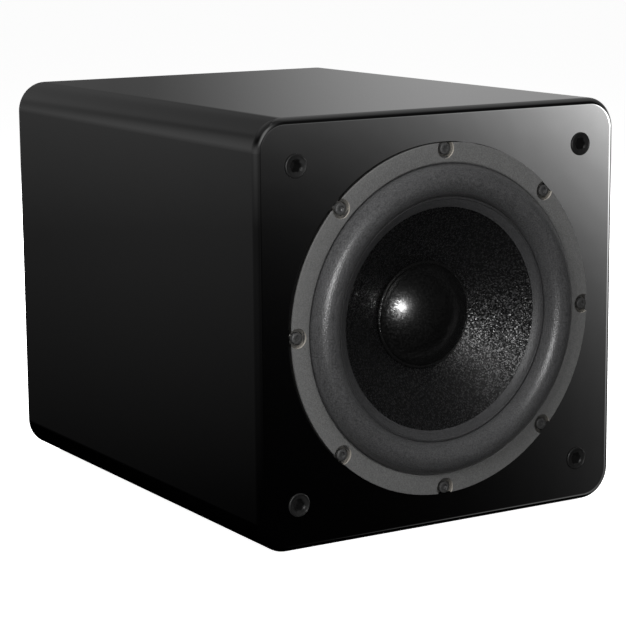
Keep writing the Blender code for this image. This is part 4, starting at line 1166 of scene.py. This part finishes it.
def front_left_walls(azimuth, elevation):
    """A low wall at the front left, and a panel above the viewer that the rounded corners mirror."""
    wall = 0.15 * share_of(elevation, -15, -9) + 1.0 * share_of(elevation, -8, -5)
    wall *= bell(turn_from(azimuth, -120), 0, 42) * (1 - soft_step(elevation, 0, 25))
    panel = 3.0 * bell(turn_from(azimuth, -172), 0, 13)
    panel *= soft_step(elevation, 2, 12) * (1 - soft_step(elevation, 32, 52))
    return wall + panel


def studio_glow(azimuth, elevation):
    """How bright the studio is along a direction.

    The azimuth is counted from straight back, positive to the right.
    """
    above = 0.06 * soft_step(elevation, 8, 25) + 0.34 * soft_step(elevation, 30, 50)
    walls = (back_left_wall, right_walls, front_left_walls, front_wall, away_from_camera)
    return above + sum(wall(azimuth, elevation) for wall in walls)


def away_from_camera(azimuth, elevation):
    """Light that only the rear, the right side and a square front view show."""
    rear_right = soft_step(azimuth, 32, 44) * (1 - soft_step(azimuth, 100, 125))
    floor = 0.55 * rear_right * (1 - soft_step(elevation, -19, -14))
    behind_viewer = 0.45 * soft_step(abs(azimuth), 166, 178)
    return floor + behind_viewer * soft_step(elevation, -16, 12)


def make_reflections():
    """A far dome that only the glossy surfaces see. It stands for the studio's walls."""
    radius = 60.0
    bm = bmesh.new()
    layer = bm.verts.layers.float_color.new("glow")
    rows = []
    elevations = [-40 + k for k in range(0, 71)] + [30 + 3 * k for k in range(1, 20)]
    for elevation in elevations:
        row = []
        for azimuth in range(-180, 180):
            a, e = math.radians(azimuth), math.radians(elevation)
            flat = radius * math.cos(e)
            spot = (flat * math.sin(a), flat * math.cos(a), radius * math.sin(e))
            vertex = bm.verts.new(spot)
            level = studio_glow(azimuth, elevation)
            vertex[layer] = (level, level, level, 1)
            row.append(vertex)
        rows.append(row)
    for first, second in zip(rows, rows[1:]):
        skin(bm, first, second)
    look = bpy.data.materials.new("studio_walls")
    look.use_nodes = True
    look.cycles.emission_sampling = "NONE"
    look.node_tree.nodes.clear()
    level = node(look, "ShaderNodeAttribute", attribute_name="glow").outputs["Color"]
    glow = node(look, "ShaderNodeEmission", {"Color": level, "Strength": 1.0})
    node(look, "ShaderNodeOutputMaterial", {"Surface": glow.outputs["Emission"]})
    dome = finish_mesh("studio_dome", bm, [look])
    dome.visible_camera = False
    dome.visible_diffuse = False
    dome.visible_shadow = False
    glossy = pieces_in("mirrors_the_studio", lambda name: name in MIRRORING)
    dome.light_linking.receiver_collection = glossy


def pieces_in(name, wanted):
    """A collection of the pieces whose main finish is wanted."""
    group = bpy.data.collections.new(name)
    for piece in list(bpy.data.objects):
        shown = piece.type == "MESH" and piece.data.materials and piece.data.materials[0]
        if shown and wanted(piece.data.materials[0].name):
            group.objects.link(piece)
    return group


def look_through(position, azimuth, elevation, roll, lens):
    """A camera at a position, turned by how its axis runs back towards it."""
    a, e, r = (math.radians(angle) for angle in (azimuth, elevation, roll))
    back = Vector((math.sin(a) * math.cos(e), -math.cos(a) * math.cos(e), math.sin(e)))
    side = Vector((0, 0, 1)).cross(back).normalized()
    rise = back.cross(side)
    right = math.cos(r) * side + math.sin(r) * rise
    up = -math.sin(r) * side + math.cos(r) * rise
    data = bpy.data.cameras.new("camera")
    data.lens = lens
    data.sensor_width = 36
    camera = bpy.data.objects.new("camera", data)
    turn = Matrix((right, up, back)).transposed().to_4x4()
    camera.matrix_world = Matrix.Translation(position) @ turn
    bpy.context.scene.collection.objects.link(camera)
    bpy.context.scene.camera = camera


def make_world():
    """White where the camera looks past the floor, and black to everything else."""
    world = bpy.data.worlds.new("studio")
    world.use_nodes = True
    bpy.context.scene.world = world
    world.node_tree.nodes.clear()
    seen = node(world, "ShaderNodeLightPath").outputs["Is Camera Ray"]
    white = node(world, "ShaderNodeBackground", {"Color": (1, 1, 1, 1), "Strength": 1.0})
    dark = node(world, "ShaderNodeBackground", {"Color": (1, 1, 1, 1), "Strength": 0.0})
    both = node(
        world,
        "ShaderNodeMixShader",
        {"Fac": seen, 1: dark.outputs["Background"], 2: white.outputs["Background"]},
    )
    node(world, "ShaderNodeOutputWorld", {"Surface": both.outputs["Shader"]})


def make_stage():
    eye = Vector((-1.0706, -1.7841, 0.5424))
    look_through(eye, azimuth=-31.22, elevation=10.44, roll=-0.48, lens=127.67)
    bpy.context.scene.view_settings.view_transform = "Standard"
    make_world()
    make_floor()
    make_reflections()
    make_lamps()


def make_lamps():
    """A key lamp for all but the lacquer and cone, one for the cone, and four that nothing mirrors."""
    key = area_light("key", azimuth=-25, elevation=10.5, distance=1.5, size=0.08, power=10)
    cone_key = area_light("cone_key", azimuth=-22, elevation=23, distance=1.5, size=0.6, power=7)
    key_lights = (
        (key, "lit_by_the_key", lambda name: name not in ("black_lacquer", "woven_cone")),
        (cone_key, "lit_by_the_cone_key", lambda name: name == "woven_cone"),
    )
    for lamp, group, wanted in key_lights:
        lamp.light_linking.receiver_collection = pieces_in(group, wanted)
    soft = (  # name, azimuth, elevation, distance, size, power, target
        ("fill_left", -60, 25, 1.0, 0.5, 7, DRIVER),
        ("fill_right", 45, 3, 1.5, 0.6, 4, DRIVER),
        ("overhead", 0, 75, 1.8, 1.2, 20, (0, 0, 0.2)),
        ("rear_fill", 150, 30, 2.0, 1.0, 110, (0, 0.2, 0.2)),
    )
    for settings in soft:
        area_light(*settings).visible_glossy = False


def main():
    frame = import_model()
    looks = make_looks()
    for subpart in frame["record"]["subparts"]:
        part = frame["nodes"][subpart["node"]]
        part.data.materials.clear()
        part.data.materials.append(looks[subpart["material_slot"]])
    make_cabinet(looks)
    make_grille_sockets(looks)
    make_feet(looks)
    make_trim_ring(looks)
    make_basket(looks)
    make_driver_screws(looks)
    make_surround(looks)
    make_inner_flex(frame["nodes"])
    make_cone(looks)
    make_dust_cap(looks)
    make_amp_plate(looks)
    make_dial_dots(looks)
    make_amp_screws(looks)
    make_heat_sink(looks)
    make_knobs(looks)
    make_standby_switch(looks)
    make_lamp(looks)
    make_power_entry(looks)
    make_jacks(looks)
    make_stage()


main()
